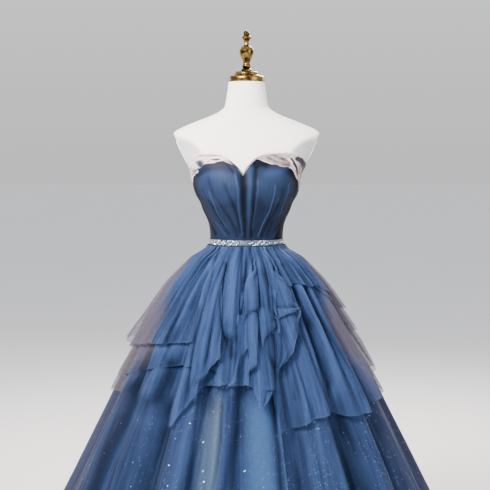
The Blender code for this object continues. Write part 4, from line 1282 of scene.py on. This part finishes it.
class PROM_OT_bodice(bpy.types.Operator):
    """Make the four bodice panels with their pleats"""

    bl_idname = "prom.bodice"
    bl_label = "Bodice"

    def execute(self, context):
        settings = context.scene.prom_bodice
        material = bodice_cloth(settings)
        half_seam = 0.03
        panels = (
            ("Bodice_front_left", -90.0, CENTRE_SEAM, 200, "bodice_front_left", (0.20, 0.26), 0.042),
            ("Bodice_front_right", CENTRE_SEAM, 90.0, 210, "bodice_front_right", (0.21, 0.26), 0.044),
            ("Bodice_back_left", -180.0, -90.0, 90, "bodice_back_left", (0.18, 0.20), 0.029),
            ("Bodice_back_right", 90.0, 180.0, 90, "bodice_back_right", (0.18, 0.20), 0.029),
        )
        for name, start, end, columns, node, flat, area in panels:
            angle = np.linspace(start + half_seam, end - half_seam, columns)[None, :]
            share = np.linspace(0.0, 1.0, 110)[:, None]
            z = bodice_top(angle) + (BODICE_LOW - bodice_top(angle)) * share
            lines = drawn(PLEAT_LINES, angle, z, bodice_radius) * (1.0 if "front" in name else 0.6)
            relief = np.clip(0.0013 * settings.pleat_scale * lines, -0.0016, 0.0016)
            edge = np.clip(share / 0.03, 0.0, 1.0) * np.clip((1 - share) / 0.05, 0.0, 1.0)
            out = clearance(z) + BODICE_WALL + (0.0006 + relief) * edge
            points = moved_out(worn_point, angle, z, out)
            side = np.abs(angle - CENTRE_SEAM) / 90.0
            # Painted highlight on the cups, from the lighter ovals
            ovals = [np.hypot((angle - cup_highlight.angle) / cup_highlight.wide, (z - cup_highlight.z) / cup_highlight.tall) for cup_highlight in CUP_HIGHLIGHTS]
            cup_highlight = np.clip((1.10 - np.minimum(*ovals)) / 0.40, 0.0, 1.0)
            cup_highlight = cup_highlight * cup_highlight * (3 - 2 * cup_highlight) * np.clip((z - 1.13) / 0.07, 0.0, 1.0)
            front = np.where(np.abs(angle) < 90, 1.0, 0.0)
            strip = 0.95 * np.exp(-(((angle + 28.0) / 17.0) ** 4))
            strip = strip + 0.6 * np.exp(-(((angle - 28.0) / 10.0) ** 4))
            # Painted highlight along the tops of the cups
            cup_top_highlight = np.exp(-(((angle + 36.0) / 18.0) ** 2) - ((z - 1.252) / 0.015) ** 2)
            cup_top_highlight = cup_top_highlight + 1.35 * np.exp(-(((angle - 28.6) / 14.0) ** 2) - ((z - 1.257) / 0.016) ** 2)
            above = np.clip((z - drape_low(angle) + 0.023) / 0.010, 0.0, 1.0) * (1 - cup_highlight) * front * strip
            # Painted shade and highlight: the lines, the highlights on the cups, and painted shade darkening
            # towards the sides
            fold = 1.05 * lines + 0.70 * cup_highlight + 0.80 * cup_top_highlight - 1.5 * np.clip(side, 0, 1) ** 4 - 0.12
            mesh = grid_mesh(name, points, fold=fold, sheer=above)
            obj = add_piece(name, mesh, material, "bodice_blue", node)
        return {"FINISHED"}


class PROM_OT_drape(bpy.types.Operator):
    """Make the folded sheer drape over the neckline"""

    bl_idname = "prom.drape"
    bl_label = "Neckline drape"

    def execute(self, context):
        settings = context.scene.prom_bodice
        material = drape_cloth(settings)
        half_seam = 0.09
        for name, start, end, node, phase in (
            ("Drape_left", -180.0, CENTRE_SEAM, "neckline_drape_left", 0.0),
            ("Drape_right", CENTRE_SEAM, 180.0, "neckline_drape_right", 0.35),
        ):
            angle = np.linspace(start + half_seam, end - half_seam, 420)[None, :]
            share = np.linspace(0.0, 1.0, 46)[:, None]
            away = np.abs(angle - CENTRE_SEAM)
            wavy = 0.0010 * np.sin(away * 0.42 + 5 * phase) * np.clip((away - 12) / 10, 0.0, 1.0)
            z = drape_top(angle) + (drape_low(angle) + wavy - drape_top(angle)) * share
            round_over = np.sin(np.pi * np.clip(share * 0.94 + 0.06, 0.0, 1.0))
            place = share * 2.3 + away / 44.0 + phase + 0.10 * np.sin(away * 0.13 + 4 * phase)
            band = place % 1.0
            crumple = np.cos(2 * np.pi * (share * 1.3 - away / 17.0 + phase)) * np.cos(away * 0.11 + phase)
            relief = (0.0020 * band ** 1.4 + 0.0005 * crumple) * np.clip(away / 14, 0.2, 1.0) * round_over
            points = moved_out(worn_point, angle, z, 0.0034 + 0.0026 * round_over + relief)
            out = normals_of(worn_point, angle, z)
            lines = drawn(DRAPE_LINES, angle, z, bodice_radius)
            low_edge = np.clip((share - 0.90) / 0.08, 0.0, 1.0)
            high_edge = np.clip((0.08 - share) / 0.06, 0.0, 1.0)
            band_shadow = np.clip(1 - band / 0.22, 0.0, 1.0) * np.clip(away / 12, 0.0, 1.0)
            calm = 0.35 if name == "Drape_right" else 1.0
            # Painted shade and highlight: lighter up each band, a painted shadow under its step, painted
            # highlights along the upper and lower edges, and the lines
            fold = calm * (0.45 * band + 0.3 * crumple - 0.3 * band_shadow) + 0.7 * low_edge + 0.6 * high_edge
            fold = fold + 1.7 * lines
            points = points + np.expand_dims(0.0011 * np.clip(lines, -1.2, 1.2), -1) * out
            right = "right" in name
            if right:
                at_v = np.clip((9.0 - away) / 1.5, 0.0, 1.0)
            else:
                at_v = 0.75 * np.clip((14.0 - away) / 4.0, 0.0, 1.0)
            patch = np.exp(-(((angle + 43.5) / 4.0) ** 4) - ((z - 1.279) / 0.0125) ** 4)
            # The right half's painted shade is darker overall
            mesh = grid_mesh(
                name, points, fold=fold - (0.56 if right else 0.05), over=np.maximum(at_v, patch),
                solid=0.95 - 0.15 * share * (1 - low_edge),
            )
            obj = add_piece(name, mesh, material, "drape_blush", node)
        return {"FINISHED"}


def stone_zone(angle):
    """How closely the belt is set with large stones: in two stretches of the front."""
    left = math.exp(-(((angle + 38.0) / 27.0) ** 6))
    right = math.exp(-(((angle - 18.0) / 15.0) ** 6))
    return max(left, right)


class PROM_OT_belt(bpy.types.Operator):
    """Make the ribbon belt and its rhinestones"""

    bl_idname = "prom.belt"
    bl_label = "Rhinestone belt"

    def execute(self, context):
        settings = context.scene.prom_belt
        angle = np.linspace(-179.9, 179.9, 400)[None, :]
        z = np.linspace(BELT_TOP - BELT_TRIM, BELT_LOW, 5)[:, None]
        outer = moved_out(worn_point, angle, z, clearance(z) + BELT_INSIDE + BELT_THICKNESS * 0.6 + 0 * angle)
        inner = moved_out(worn_point, angle, z, clearance(z) + BELT_INSIDE + 0 * angle)
        points = np.concatenate((inner[::-1][-1:], outer, inner[::-1]), axis=0)
        ribbon = grid_mesh("Belt_ribbon", points)
        obj = add_piece("Belt_ribbon", ribbon, ribbon_satin(), "rhinestone", "belt")
        stones = []
        middle = (BELT_LOW + BELT_TOP - BELT_TRIM) / 2
        for angle in np.arange(-176.0, 176.0, 1.55):
            swing = 0.0050 * stone_zone(angle) * (2 * abs((angle / 9.3) % 1 * 2 - 1) - 1)
            stones.append((angle, middle + 0.0010 + swing, 0.28 + 0.26 * stone_zone(angle)))
        for angle in np.arange(-176.0, 176.0, 2.05):
            bright = stone_zone(angle)
            for side in (-1, 1):
                row_z = middle + 0.0010 + side * (0.0030 + 0.0036 * bright)
                stones.append((angle, row_z, 0.16 + 0.22 * bright))
        where = np.array(stones)
        base = clearance(where[:, 1]) + BELT_INSIDE + BELT_THICKNESS * 0.6
        points = moved_out(worn_point, where[:, 0], where[:, 1], base)
        out = normals_of(worn_point, where[:, 0], where[:, 1])
        mesh = bpy.data.meshes.new("Stone places")
        mesh.from_pydata(points.tolist(), [], [])
        mesh.attributes.new("out", "FLOAT_VECTOR", "POINT").data.foreach_set("vector", out.ravel())
        mesh.attributes.new("size", "FLOAT", "POINT").data.foreach_set("value", where[:, 2])
        glass = stone_glass()
        made = run_tree("Rhinestones", mesh, stone_tree(glass), Stone=settings.stone)
        add_piece("Rhinestones", made, glass, "rhinestone")
        return {"FINISHED"}


# Skirt


def fold_profile(turns, power):
    """The section of a row of folds: 1 on a broad ridge and -1 in a narrow valley."""
    return 1 - 2 * (0.5 - 0.5 * np.cos(turns)) ** power


def large_folds(angle):
    """The large folds, times each fold's height."""
    turned_angle = (angle - LEFT_SIDE) % FULL_TURN + LEFT_SIDE
    ridges = np.array([f.angle for f in FOLDS] + [LEFT_SIDE + FULL_TURN])
    heights = np.array([f.height for f in FOLDS] + [FOLDS[0].height])
    i = np.clip(np.searchsorted(ridges, turned_angle, side="right") - 1, 0, len(FOLDS) - 1)
    part = (turned_angle - ridges[i]) / (ridges[i + 1] - ridges[i])
    height = heights[i] + (heights[i + 1] - heights[i]) * part
    for spot in SOFTENED:
        height = height * (1 - spot.share * np.exp(-(((turned_angle - spot.angle) / spot.spread) ** 4)))
    return height * fold_profile(2 * np.pi * part, VALLEY_POWER)


def gathers(angle, z, settings):
    """The fine gathers and the broader folds that every layer shares, uneven round the waist."""
    turn = np.radians(angle)
    uneven = turn + 0.055 * np.sin(3 * turn + 0.7) + 0.030 * np.sin(7 * turn + 2.1)
    uneven = uneven + 0.014 * np.sin(17 * turn)
    strong = 0.62 + 0.38 * np.sin(5 * turn + 1.3) * np.sin(11 * turn + 0.4)
    drift = 0.10 * np.sin(4 * turn + 9 * z) + 0.05 * np.sin(9 * turn - 5 * z)
    second_count = int(0.62 * settings.fine_gathers)
    second = fold_profile(second_count * turn + 2 * np.sin(4 * turn + 3 * z), GATHER_POWER)
    fine = fold_profile(settings.fine_gathers * uneven, GATHER_POWER) * strong + 0.42 * second
    broad = fold_profile(settings.broad_gathers * (uneven + drift / 4), GATHER_POWER)
    return fine, broad * (0.7 + 0.3 * np.cos(6 * turn + 2.0))


def own_folds(layer, angle, z):
    """A layer's own small folds, which drift a little on their way down."""
    own = OWN_FOLDS[layer]
    turn = np.radians(angle)
    drift = 0.05 * np.sin(3 * turn + 7 * z) + 0.03 * np.sin(8 * turn + 2)
    return fold_profile(own.count * (turn + drift) + own.start, GATHER_POWER)


def layer_gap(layer, angle, z):
    """How far a layer lies outside the main skirt. On the left the lower tiers hug the skirt."""
    if layer == "main":
        return 0.0
    gap = smooth(SKIRT, "z", layer, z)
    if layer in ("bottom", "middle"):
        on_left = np.maximum(0.0, -np.sin(np.radians(angle))) ** 2
        low_down = np.clip((LIFT_START_Z - z) / LIFT_DROP, 0.0, 1.0)
        gap = gap * (1.0 - LEFT_HUG * on_left * low_down)
    return gap


def own_height(layer, angle, z):
    """Height of a layer's own folds, small enough to stay clear of the layer below."""
    if layer == "main":
        return 0.0026 * np.clip((0.60 - z) / 0.15, 0.0, 1.0)
    below = layer_gap(LAYER_BELOW.get(layer, "main"), angle, z)
    return OWN_SHARE * (layer_gap(layer, angle, z) - below)


def skirt_surface(layer, settings):
    """The surface of a layer of the skirt, as a function of angle and height."""

    def point_at(angle, z):
        out = layer_gap(layer, angle, z)
        if layer != "lining":
            fine, broad = gathers(angle, z, settings)
            out = out + large_folds(angle) * smooth(SKIRT, "z", "fold", z)
            out = out + fine * smooth(GATHERS, "z", "fine", z) + broad * smooth(GATHERS, "z", "broad", z)
            out = out + own_folds(layer, angle, z) * own_height(layer, angle, z)
            out = out + line_shade(layer, angle, z) * line_height(layer, z)
        half_width = smooth(SKIRT, "z", "half_width", z)
        half_depth = half_width * smooth(SKIRT, "z", "depth", z)
        turn = np.radians(angle)
        wide = (half_width + out) * rounded(np.sin(turn))
        return stacked(wide, -(half_depth + out) * rounded(np.cos(turn)), z)

    return point_at


def line_shade(layer, angle, z):
    """The ridges and troughs placed one by one, on the long skirt or on the layers over it."""
    if layer == "main":
        return drawn(SKIRT_LINES, angle, z, skirt_radius)
    return drawn(WAIST_LINES + TIER_LINES, angle, z, skirt_radius)


def line_height(layer, z):
    if layer == "main":
        return 0.0034
    return 0.0022 * np.clip((SKIRT_TOP - z) / 0.035, 0.1, 1.0)


def rim_share(angle, z):
    """Where the cloth lies single at the sides of the tiers, widest at the top tier's hem; it is sheerer
    there and takes a painted warm backlight.
    """
    side = np.abs(np.sin(np.radians(angle)))
    start = np.interp(z, (0.66, 0.72, 0.80, 0.90, 1.03), (0.90, 0.88, 0.80, 0.90, 0.965))
    on_left = np.sin(np.radians(angle)) < 0
    start = start - np.where(on_left, 0.03 * np.clip((z - 0.82) / 0.05, 0.0, 1.0), 0.0)
    return np.clip((side - start + 0.015) / 0.09, 0.0, 1.0) * np.clip((1.035 - z) / 0.04, 0.0, 1.0)


def fold_shade(layer, angle, z, settings):
    """The fold attribute: about 1 on a ridge and -1 in a valley."""
    fine, broad = gathers(angle, z, settings)
    high = np.clip((z - 0.84) / 0.12, 0.0, 1.0)
    low = np.clip((1.00 - z) / 0.30, 0.0, 1.0)
    shade = 0.36 * fine * high + 0.34 * broad * (0.45 + 0.55 * low) + 0.50 * large_folds(angle) * low
    return np.clip(shade + 0.22 * own_folds(layer, angle, z), -1.2, 1.1)


def hem_edge(share, rows):
    """The edge attribute, which places a painted highlight: 1 along the cut hem and 0 away from it."""
    return np.clip(1 - (1 - share) * rows, 0.0, 1.0)


def lit_under(hem, angle, z):
    """Painted light below the hem above a layer, standing for light through that sheer hem, most at the
    centre.
    """
    if hem is None:
        return 0.0
    left = 1.0 if hem is TOP_TIER_HEM else 0.35
    below = (straight(hem, "angle", "z", angle) - z - 0.010) / 0.016
    by_side = np.interp(angle, (-90.0, -30.0, -12.0, 5.0, 20.0), (left, left, 1.0, 1.0, 0.3))
    return np.exp(-below * below) * by_side


def skirt_rows(top, low, count, power=1.25):
    share = np.linspace(0.0, 1.0, count)[:, None] ** power
    return top + (low - top) * share, share


class PROM_OT_lining(bpy.types.Operator):
    """Make the satin lining"""

    bl_idname = "prom.lining"
    bl_label = "Lining"

    def execute(self, context):
        material = satin()
        settings = context.scene.prom_skirt
        panels = (
            ("Lining_front", -90.0, 90.0, 120, "lining_front", (2.0, 1.15), 1.25),
            ("Lining_back_right", 90.0, 180.0, 60, "lining_back_right", (1.05, 1.15), 0.62),
            ("Lining_back_left", 180.0, 270.0, 60, "lining_back_left", (1.05, 1.15), 0.62),
        )
        for name, start, end, columns, node, flat, area in panels:
            angle = np.linspace(start + 0.05, end - 0.05, columns)[None, :]
            z, _ = skirt_rows(SKIRT_TOP, HEM_Z + 0 * angle, 60)
            points = skirt_surface("lining", settings)(angle, z)
            # The column of the lining's painted highlight
            pale = np.exp(-(((angle + 13.5) / 5.0) ** 4))
            obj = add_piece(name, grid_mesh(name, points, pale=pale), material, "lining_satin", node)
        return {"FINISHED"}


class PROM_OT_glitter_skirt(bpy.types.Operator):
    """Make the long tulle skirt and its glitter"""

    bl_idname = "prom.glitter_skirt"
    bl_label = "Glitter skirt"

    def execute(self, context):
        settings = context.scene.prom_skirt
        # The long skirt's blues are darker than the tiers': painted shade for the dark inside seen through
        # single tulle
        light = tuple(0.66 * c for c in settings.light)
        dark = settings.dark
        material = tulle("Glitter tulle", light, dark, 1.3, (0.060, 0.060, 0.092))
        flake = glitter_flake()
        tree = glitter_tree(flake)
        for name, start, end, node, seed in (
            ("Skirt_front", -90.0, 90.0, "skirt_front", 3), ("Skirt_back", 90.0, 270.0, "skirt_back", 8)
        ):
            angle = np.linspace(start + 0.03, end - 0.03, SKIRT_COLUMNS)[None, :]
            z, _ = skirt_rows(SKIRT_TOP, HEM_Z + SKIRT_LIFT + 0 * angle, SKIRT_ROWS)
            points = skirt_surface("main", settings)(angle, z)
            patchy = 0.5 + 0.5 * np.sin(0.31 * angle + 9 * z) * np.sin(0.17 * angle - 14 * z)
            glitter = np.clip((0.80 - z) / 0.1, 0.0, 1.0) * patchy
            lines = line_shade("main", angle, z)
            shade = 0.55 * fold_shade("main", angle, z, settings) + 0.70 * lines
            # Sheerer columns of the tulle, over the lining's painted highlight
            pale = 0.27 * np.exp(-(((angle + 15.0) / 4.8) ** 6))
            pale = pale + 0.42 * np.exp(-(((angle + 9.9) / 1.4) ** 2))
            # A painted highlight down a column of the front, where the tulle is also sheerer
            highlight_column = np.exp(-(((angle - 3.6) / 5.0) ** 4))
            low = np.clip((0.74 - z) / 0.10, 0.0, 1.0) * np.clip((z - 0.06) / 0.18, 0.0, 1.0)
            clear = (pale + 0.42 * highlight_column) * low
            shade = shade + lit_under(BOTTOM_TIER_HEM, angle, z)
            # Painted shade darker on the left and lighter in the middle
            shade = shade + np.interp(
                angle, (-90.0, -45.0, -22.0, 0.0, 25.0, 60.0), (-0.75, -0.6, 0.0, 0.3, 0.15, 0.1)
            )
            glitter = glitter * np.clip(0.35 + shade, 0.12, 1.0)
            # At the sides, a painted warm backlight on the single tulle
            side = np.abs(np.sin(np.radians(angle)))
            mesh = grid_mesh(
                name, points, fold=shade + 0.90 * highlight_column * low, glitter=glitter, clear=clear,
                rim=0.9 * np.clip((side - 0.87) / 0.08, 0.0, 1.0),
            )
            flakes = run_tree(
                name + " glitter", mesh.copy(), tree, Density=float(settings.glitter),
                Flake=settings.flake, Seed=seed,
            )
            obj = add_piece(name, mesh, material, "tulle_glitter", node)
            add_piece(name + "_glitter", flakes, flake, "tulle_glitter")
        return {"FINISHED"}


class PROM_OT_tiers(bpy.types.Operator):
    """Make the three tulle tiers with their pointed hems"""

    bl_idname = "prom.tiers"
    bl_label = "Tiers"

    def execute(self, context):
        settings = context.scene.prom_skirt
        material = tulle("Tulle", settings.light, settings.dark, 1.9, BACKLIT_SINGLE_TULLE)
        tiers = (
            ("Tier_bottom", "bottom", BOTTOM_TIER_HEM, MIDDLE_TIER_HEM, "tier_bottom", (2.2, 0.62), 0.88),
            ("Tier_middle", "middle", MIDDLE_TIER_HEM, TOP_TIER_HEM, "tier_middle", (2.0, 0.50), 0.60),
            ("Tier_top", "top", TOP_TIER_HEM, None, "tier_top", (1.7, 0.38), 0.37),
        )
        for name, layer, hem, above, node, flat, area in tiers:
            angle = np.linspace(LEFT_SIDE, LEFT_SIDE + FULL_TURN, TIER_COLUMNS, endpoint=False)[None, :]
            low = straight(hem, "angle", "z", angle)
            z, share = skirt_rows(SKIRT_TOP, low, TIER_ROWS, 1.15)
            points = skirt_surface(layer, settings)(angle, z)
            shade = fold_shade(layer, angle, z, settings) + 0.85 * line_shade(layer, angle, z)
            shade = shade + lit_under(above, angle, z)
            # Painted shade on the lower two tiers, darker low down on the left
            if layer != "top":
                lower = np.clip((0.78 - z) / 0.04, 0.0, 1.0)
                shade = shade + lower * np.interp(
                    angle, (-76.0, -50.0, -34.0, 240.0, 270.0), (-0.75, -0.75, 0.0, 0.0, -0.75)
                )
            # Sheerer tulle at the sides, with a painted warm backlight
            rim = rim_share(angle, z)
            clear = np.maximum(0.24 * np.clip((share - 0.2) / 0.45, 0.0, 1.0), 0.45 * rim)
            if layer == "bottom":
                left = np.clip((-27.0 - angle) / 6.0, 0.0, 1.0) * np.clip((angle + 80.0) / 6.0, 0.0, 1.0)
                clear = clear + 1.5 * left * np.clip((share - 0.84) / 0.16, 0.0, 1.0)
            # The edge attribute puts a faint painted highlight along the hem
            mesh = grid_mesh(
                name, points, closed=True, fold=shade, edge=0.12 * hem_edge(share, TIER_ROWS), clear=clear,
                rim=rim
            )
            obj = add_piece(name, mesh, material, "tulle_blue", node)
        return {"FINISHED"}


class PROM_OT_cascades(bpy.types.Operator):
    """Make the two cascades that hang over the tiers"""

    bl_idname = "prom.cascades"
    bl_label = "Cascades"

    def execute(self, context):
        settings = context.scene.prom_skirt
        material = tulle("Cascade tulle", settings.light, settings.dark, 1.9, BACKLIT_SINGLE_TULLE)
        base = skirt_surface("cascade", settings)
        for name, edges, hem, node in (
            ("Cascade_left", LEFT_CASCADE_EDGES, LEFT_CASCADE_HEM, "cascade_left"),
            ("Cascade_right", RIGHT_CASCADE_EDGES, RIGHT_CASCADE_HEM, "cascade_right"),
        ):
            across = np.linspace(0.0, 1.0, 150)[None, :]
            low = straight(hem, "across", "z", across)
            z, share = skirt_rows(SKIRT_TOP, low, 90, 1.1)
            left = smooth(edges, "z", "left", z)
            right = smooth(edges, "z", "right", z)
            angle = left + (right - left) * across
            ease = np.clip((SKIRT_TOP - z) / 0.12, 0.0, 1.0)
            wave = 0.5 - 0.5 * np.cos(2 * np.pi * 3 * across)
            points = moved_out(base, angle, z, 0.003 * ease * wave)
            # Painted shade of the folds and of the cascade's own wave, and the lines
            fold = fold_shade("cascade", angle, z, settings) * 0.6 + (wave - 0.5) * 0.3
            fold = fold + 0.85 * line_shade("cascade", angle, z)
            outer = 1 - across if name == "Cascade_left" else across
            sides = outer * np.clip(1 - across * (1 - across) * 12, 0.0, 1.0) * np.clip(share / 0.2, 0.0, 1.0)
            clear = 0.25 * share + 0.8 * sides + 0.5 * np.clip((share - 0.93) / 0.07, 0.0, 1.0)
            mesh = grid_mesh(name, points, fold=fold, clear=clear)
            obj = add_piece(name, mesh, material, "tulle_blue", node)
        for flap in FLAPS:
            rows = 44
            share = np.linspace(0.0, 1.0, rows)[:, None]
            across = np.linspace(0.0, 1.0, 30)[None, :]
            left, right = along_line(flap.left, share), along_line(flap.right, share)
            angle = left[0] + (right[0] - left[0]) * across
            z = left[1] + (right[1] - left[1]) * across
            layer = skirt_surface(flap.layer, settings)
            wave = 0.5 - 0.5 * np.cos(2 * np.pi * flap.folds * across)
            eased = np.clip(share / 0.25, 0.0, 1.0)
            points = moved_out(layer, angle, z, flap.lift * eased + flap.height * wave * eased)
            rim = np.minimum(np.minimum(across, 1 - across) * 30, (1 - share) * rows)
            # Painted shade of the folds and the flap's own wave, lightened by its tone, and the lines
            fold = fold_shade("cascade", angle, z, settings) * 0.4 + (wave - 0.4) * 0.35 + flap.tone
            fold = fold + 0.7 * line_shade("cascade", angle, z)
            # Painted highlight along the flap's edges
            edge = flap.edge * np.clip(1 - rim, 0.0, 1.0) * np.clip(1.6 - share, 0.0, 1.0)
            clear = 0.16 + 0.14 * share + 0.7 * np.clip((share - 0.90) / 0.10, 0.0, 1.0) * (flap.folds - 1)
            mesh = grid_mesh(flap.name, points, fold=fold, edge=edge, clear=clear)
            obj = add_piece(flap.name, mesh, material, "tulle_blue")
            wide, tall = flap_size(points)
            area = min(max(measured_area(points), 0.31 * wide * tall), wide * tall)
        return {"FINISHED"}


def along_line(line, share):
    """Angles and heights along a line of corners, by the share of its length."""
    corners = np.array(line)
    steps = np.hypot(np.diff(corners[:, 0]) * 0.004, np.diff(corners[:, 1]))
    places = np.concatenate(([0.0], np.cumsum(steps))) / steps.sum()
    return np.interp(share, places, corners[:, 0]), np.interp(share, places, corners[:, 1])


def measured_area(points):
    across = points[1:, 1:] - points[:-1, :-1]
    other = points[1:, :-1] - points[:-1, 1:]
    return float(np.linalg.norm(np.cross(across, other), axis=-1).sum() / 2)


def flap_size(points):
    """Width and length of the rectangle that a flap is cut from."""
    wide = np.linalg.norm(np.diff(points, axis=1), axis=-1).sum(axis=1).max()
    tall = np.linalg.norm(np.diff(points, axis=0), axis=-1).sum(axis=0).max()
    return round(float(wide) * 1.02, 3), round(float(tall) * 1.02, 3)


# Studio


def area_light(name, place, target, size, power, tint):
    data = bpy.data.lights.new(name, "AREA")
    data.shape = "RECTANGLE"
    data.size, data.size_y = size
    data.energy = power
    data.color = tint
    obj = bpy.data.objects.new(name, data)
    obj.location = place
    obj.rotation_euler = (Vector(target) - Vector(place)).to_track_quat("-Z", "Y").to_euler()
    bpy.context.scene.collection.objects.link(obj)


class PROM_OT_studio(bpy.types.Operator):
    """Make the floor, lights and camera"""

    bl_idname = "prom.studio"
    bl_label = "Studio"

    def execute(self, context):
        settings = context.scene.prom_studio
        scene = context.scene
        elevation = math.radians(CAMERA_ELEVATION)
        target = Vector(CAMERA_TARGET)
        offset = Vector((0.0, -math.cos(elevation), math.sin(elevation))) * CAMERA_DISTANCE
        data = bpy.data.cameras.new("Camera")
        data.sensor_width = SENSOR
        data.lens = SENSOR * (CAMERA_DISTANCE / METRES_PER_PIXEL) / FRAME_PIXELS
        camera = bpy.data.objects.new("Camera", data)
        camera.location = target + offset
        camera.rotation_euler = (-offset).to_track_quat("-Z", "Y").to_euler()
        scene.collection.objects.link(camera)
        scene.camera = camera

        reach = 60.0
        corners = [(-reach, -reach, 0), (reach, -reach, 0), (reach, reach, 0), (-reach, reach, 0)]
        mesh = bpy.data.meshes.new("Floor")
        mesh.from_pydata(corners, [], [(0, 1, 2, 3)])
        floor = bpy.data.objects.new("Floor", mesh)
        finish = Finish("Floor paint", Roughness=0.75)
        cloud = finish.noise(finish.object_place(), 1.2, 2.0)
        finish.feed("Base Color", finish.mix(cloud, (0.68, 0.68, 0.69, 1), (0.72, 0.72, 0.73, 1)))
        mesh.materials.append(finish.material)
        scene.collection.objects.link(floor)

        world = bpy.data.worlds.new("Studio")
        world.use_nodes = True
        background = world.node_tree.nodes["Background"]
        tree = world.node_tree
        place = tree.nodes.new("ShaderNodeTexCoord")
        height = tree.nodes.new("ShaderNodeSeparateXYZ")
        shade = tree.nodes.new("ShaderNodeMapRange")
        blend = tree.nodes.new("ShaderNodeMix")
        blend.data_type = "RGBA"
        shade.inputs["From Max"].default_value = 0.35
        blend.inputs[6].default_value = (0.58, 0.58, 0.59, 1.0)
        blend.inputs[7].default_value = (0.86, 0.87, 0.89, 1.0)
        tree.links.new(place.outputs["Generated"], height.inputs[0])
        tree.links.new(height.outputs["Z"], shade.inputs["Value"])
        tree.links.new(shade.outputs["Result"], blend.inputs[0])
        tree.links.new(blend.outputs[2], background.inputs["Color"])
        background.inputs["Strength"].default_value = settings.world
        scene.world = world
        area_light("Key", (-1.9, -2.9, 3.3), (0.0, 0.0, 0.95), (1.3, 1.3), settings.key, (1.0, 0.97, 0.93))
        area_light("Fill", (2.8, -2.4, 1.8), (0.0, 0.0, 0.9), (2.0, 2.0), settings.fill, (0.93, 0.96, 1.0))
        area_light(
            "Back", (0.6, 3.0, 3.2), (0.0, 0.0, 1.0), (1.6, 1.6), settings.key * 0.4, (1.0, 0.93, 0.86)
        )
        for side in (-1, 1):
            area_light(
                "Rim", (2.0 * side, 2.2, 1.8), (0.0, 0.0, 0.85), (0.8, 1.6), settings.rim, (1.0, 0.76, 0.66)
            )
        scene.view_settings.look = "AgX - Medium High Contrast"
        return {"FINISHED"}


class PROM_PT_panel(bpy.types.Panel):
    """Lists the steps that make the dress"""

    bl_idname = "PROM_PT_panel"
    bl_label = "Prom dress"
    bl_space_type = "VIEW_3D"
    bl_region_type = "UI"
    bl_category = "Prom dress"

    def draw(self, context):
        layout = self.layout
        for operator, settings in STEPS:
            layout.operator(operator)
            if settings:
                group = getattr(context.scene, settings)
                for name in group.__annotations__:
                    layout.prop(group, name)


STEPS = (
    ("prom.studio", "prom_studio"),
    ("prom.form", "prom_form"),
    ("prom.bodice", "prom_bodice"),
    ("prom.drape", None),
    ("prom.belt", "prom_belt"),
    ("prom.lining", None),
    ("prom.glitter_skirt", "prom_skirt"),
    ("prom.tiers", None),
    ("prom.cascades", None),
)
GROUPS = {
    "prom_studio": StudioSettings,
    "prom_form": FormSettings,
    "prom_bodice": BodiceSettings,
    "prom_belt": BeltSettings,
    "prom_skirt": SkirtSettings,
}
CLASSES = (
    *GROUPS.values(),
    PROM_OT_studio,
    PROM_OT_form,
    PROM_OT_bodice,
    PROM_OT_drape,
    PROM_OT_belt,
    PROM_OT_lining,
    PROM_OT_glitter_skirt,
    PROM_OT_tiers,
    PROM_OT_cascades,
    PROM_PT_panel,
)


def register():
    for cls in CLASSES:
        bpy.utils.register_class(cls)
    for name, group in GROUPS.items():
        setattr(bpy.types.Scene, name, PointerProperty(type=group))


def unregister():
    for name in GROUPS:
        delattr(bpy.types.Scene, name)
    for cls in reversed(CLASSES):
        bpy.utils.unregister_class(cls)


def main():
    register()
    for operator, _ in STEPS:
        group, name = operator.split(".")
        getattr(getattr(bpy.ops, group), name)()


if __name__ == "__main__":
    main()
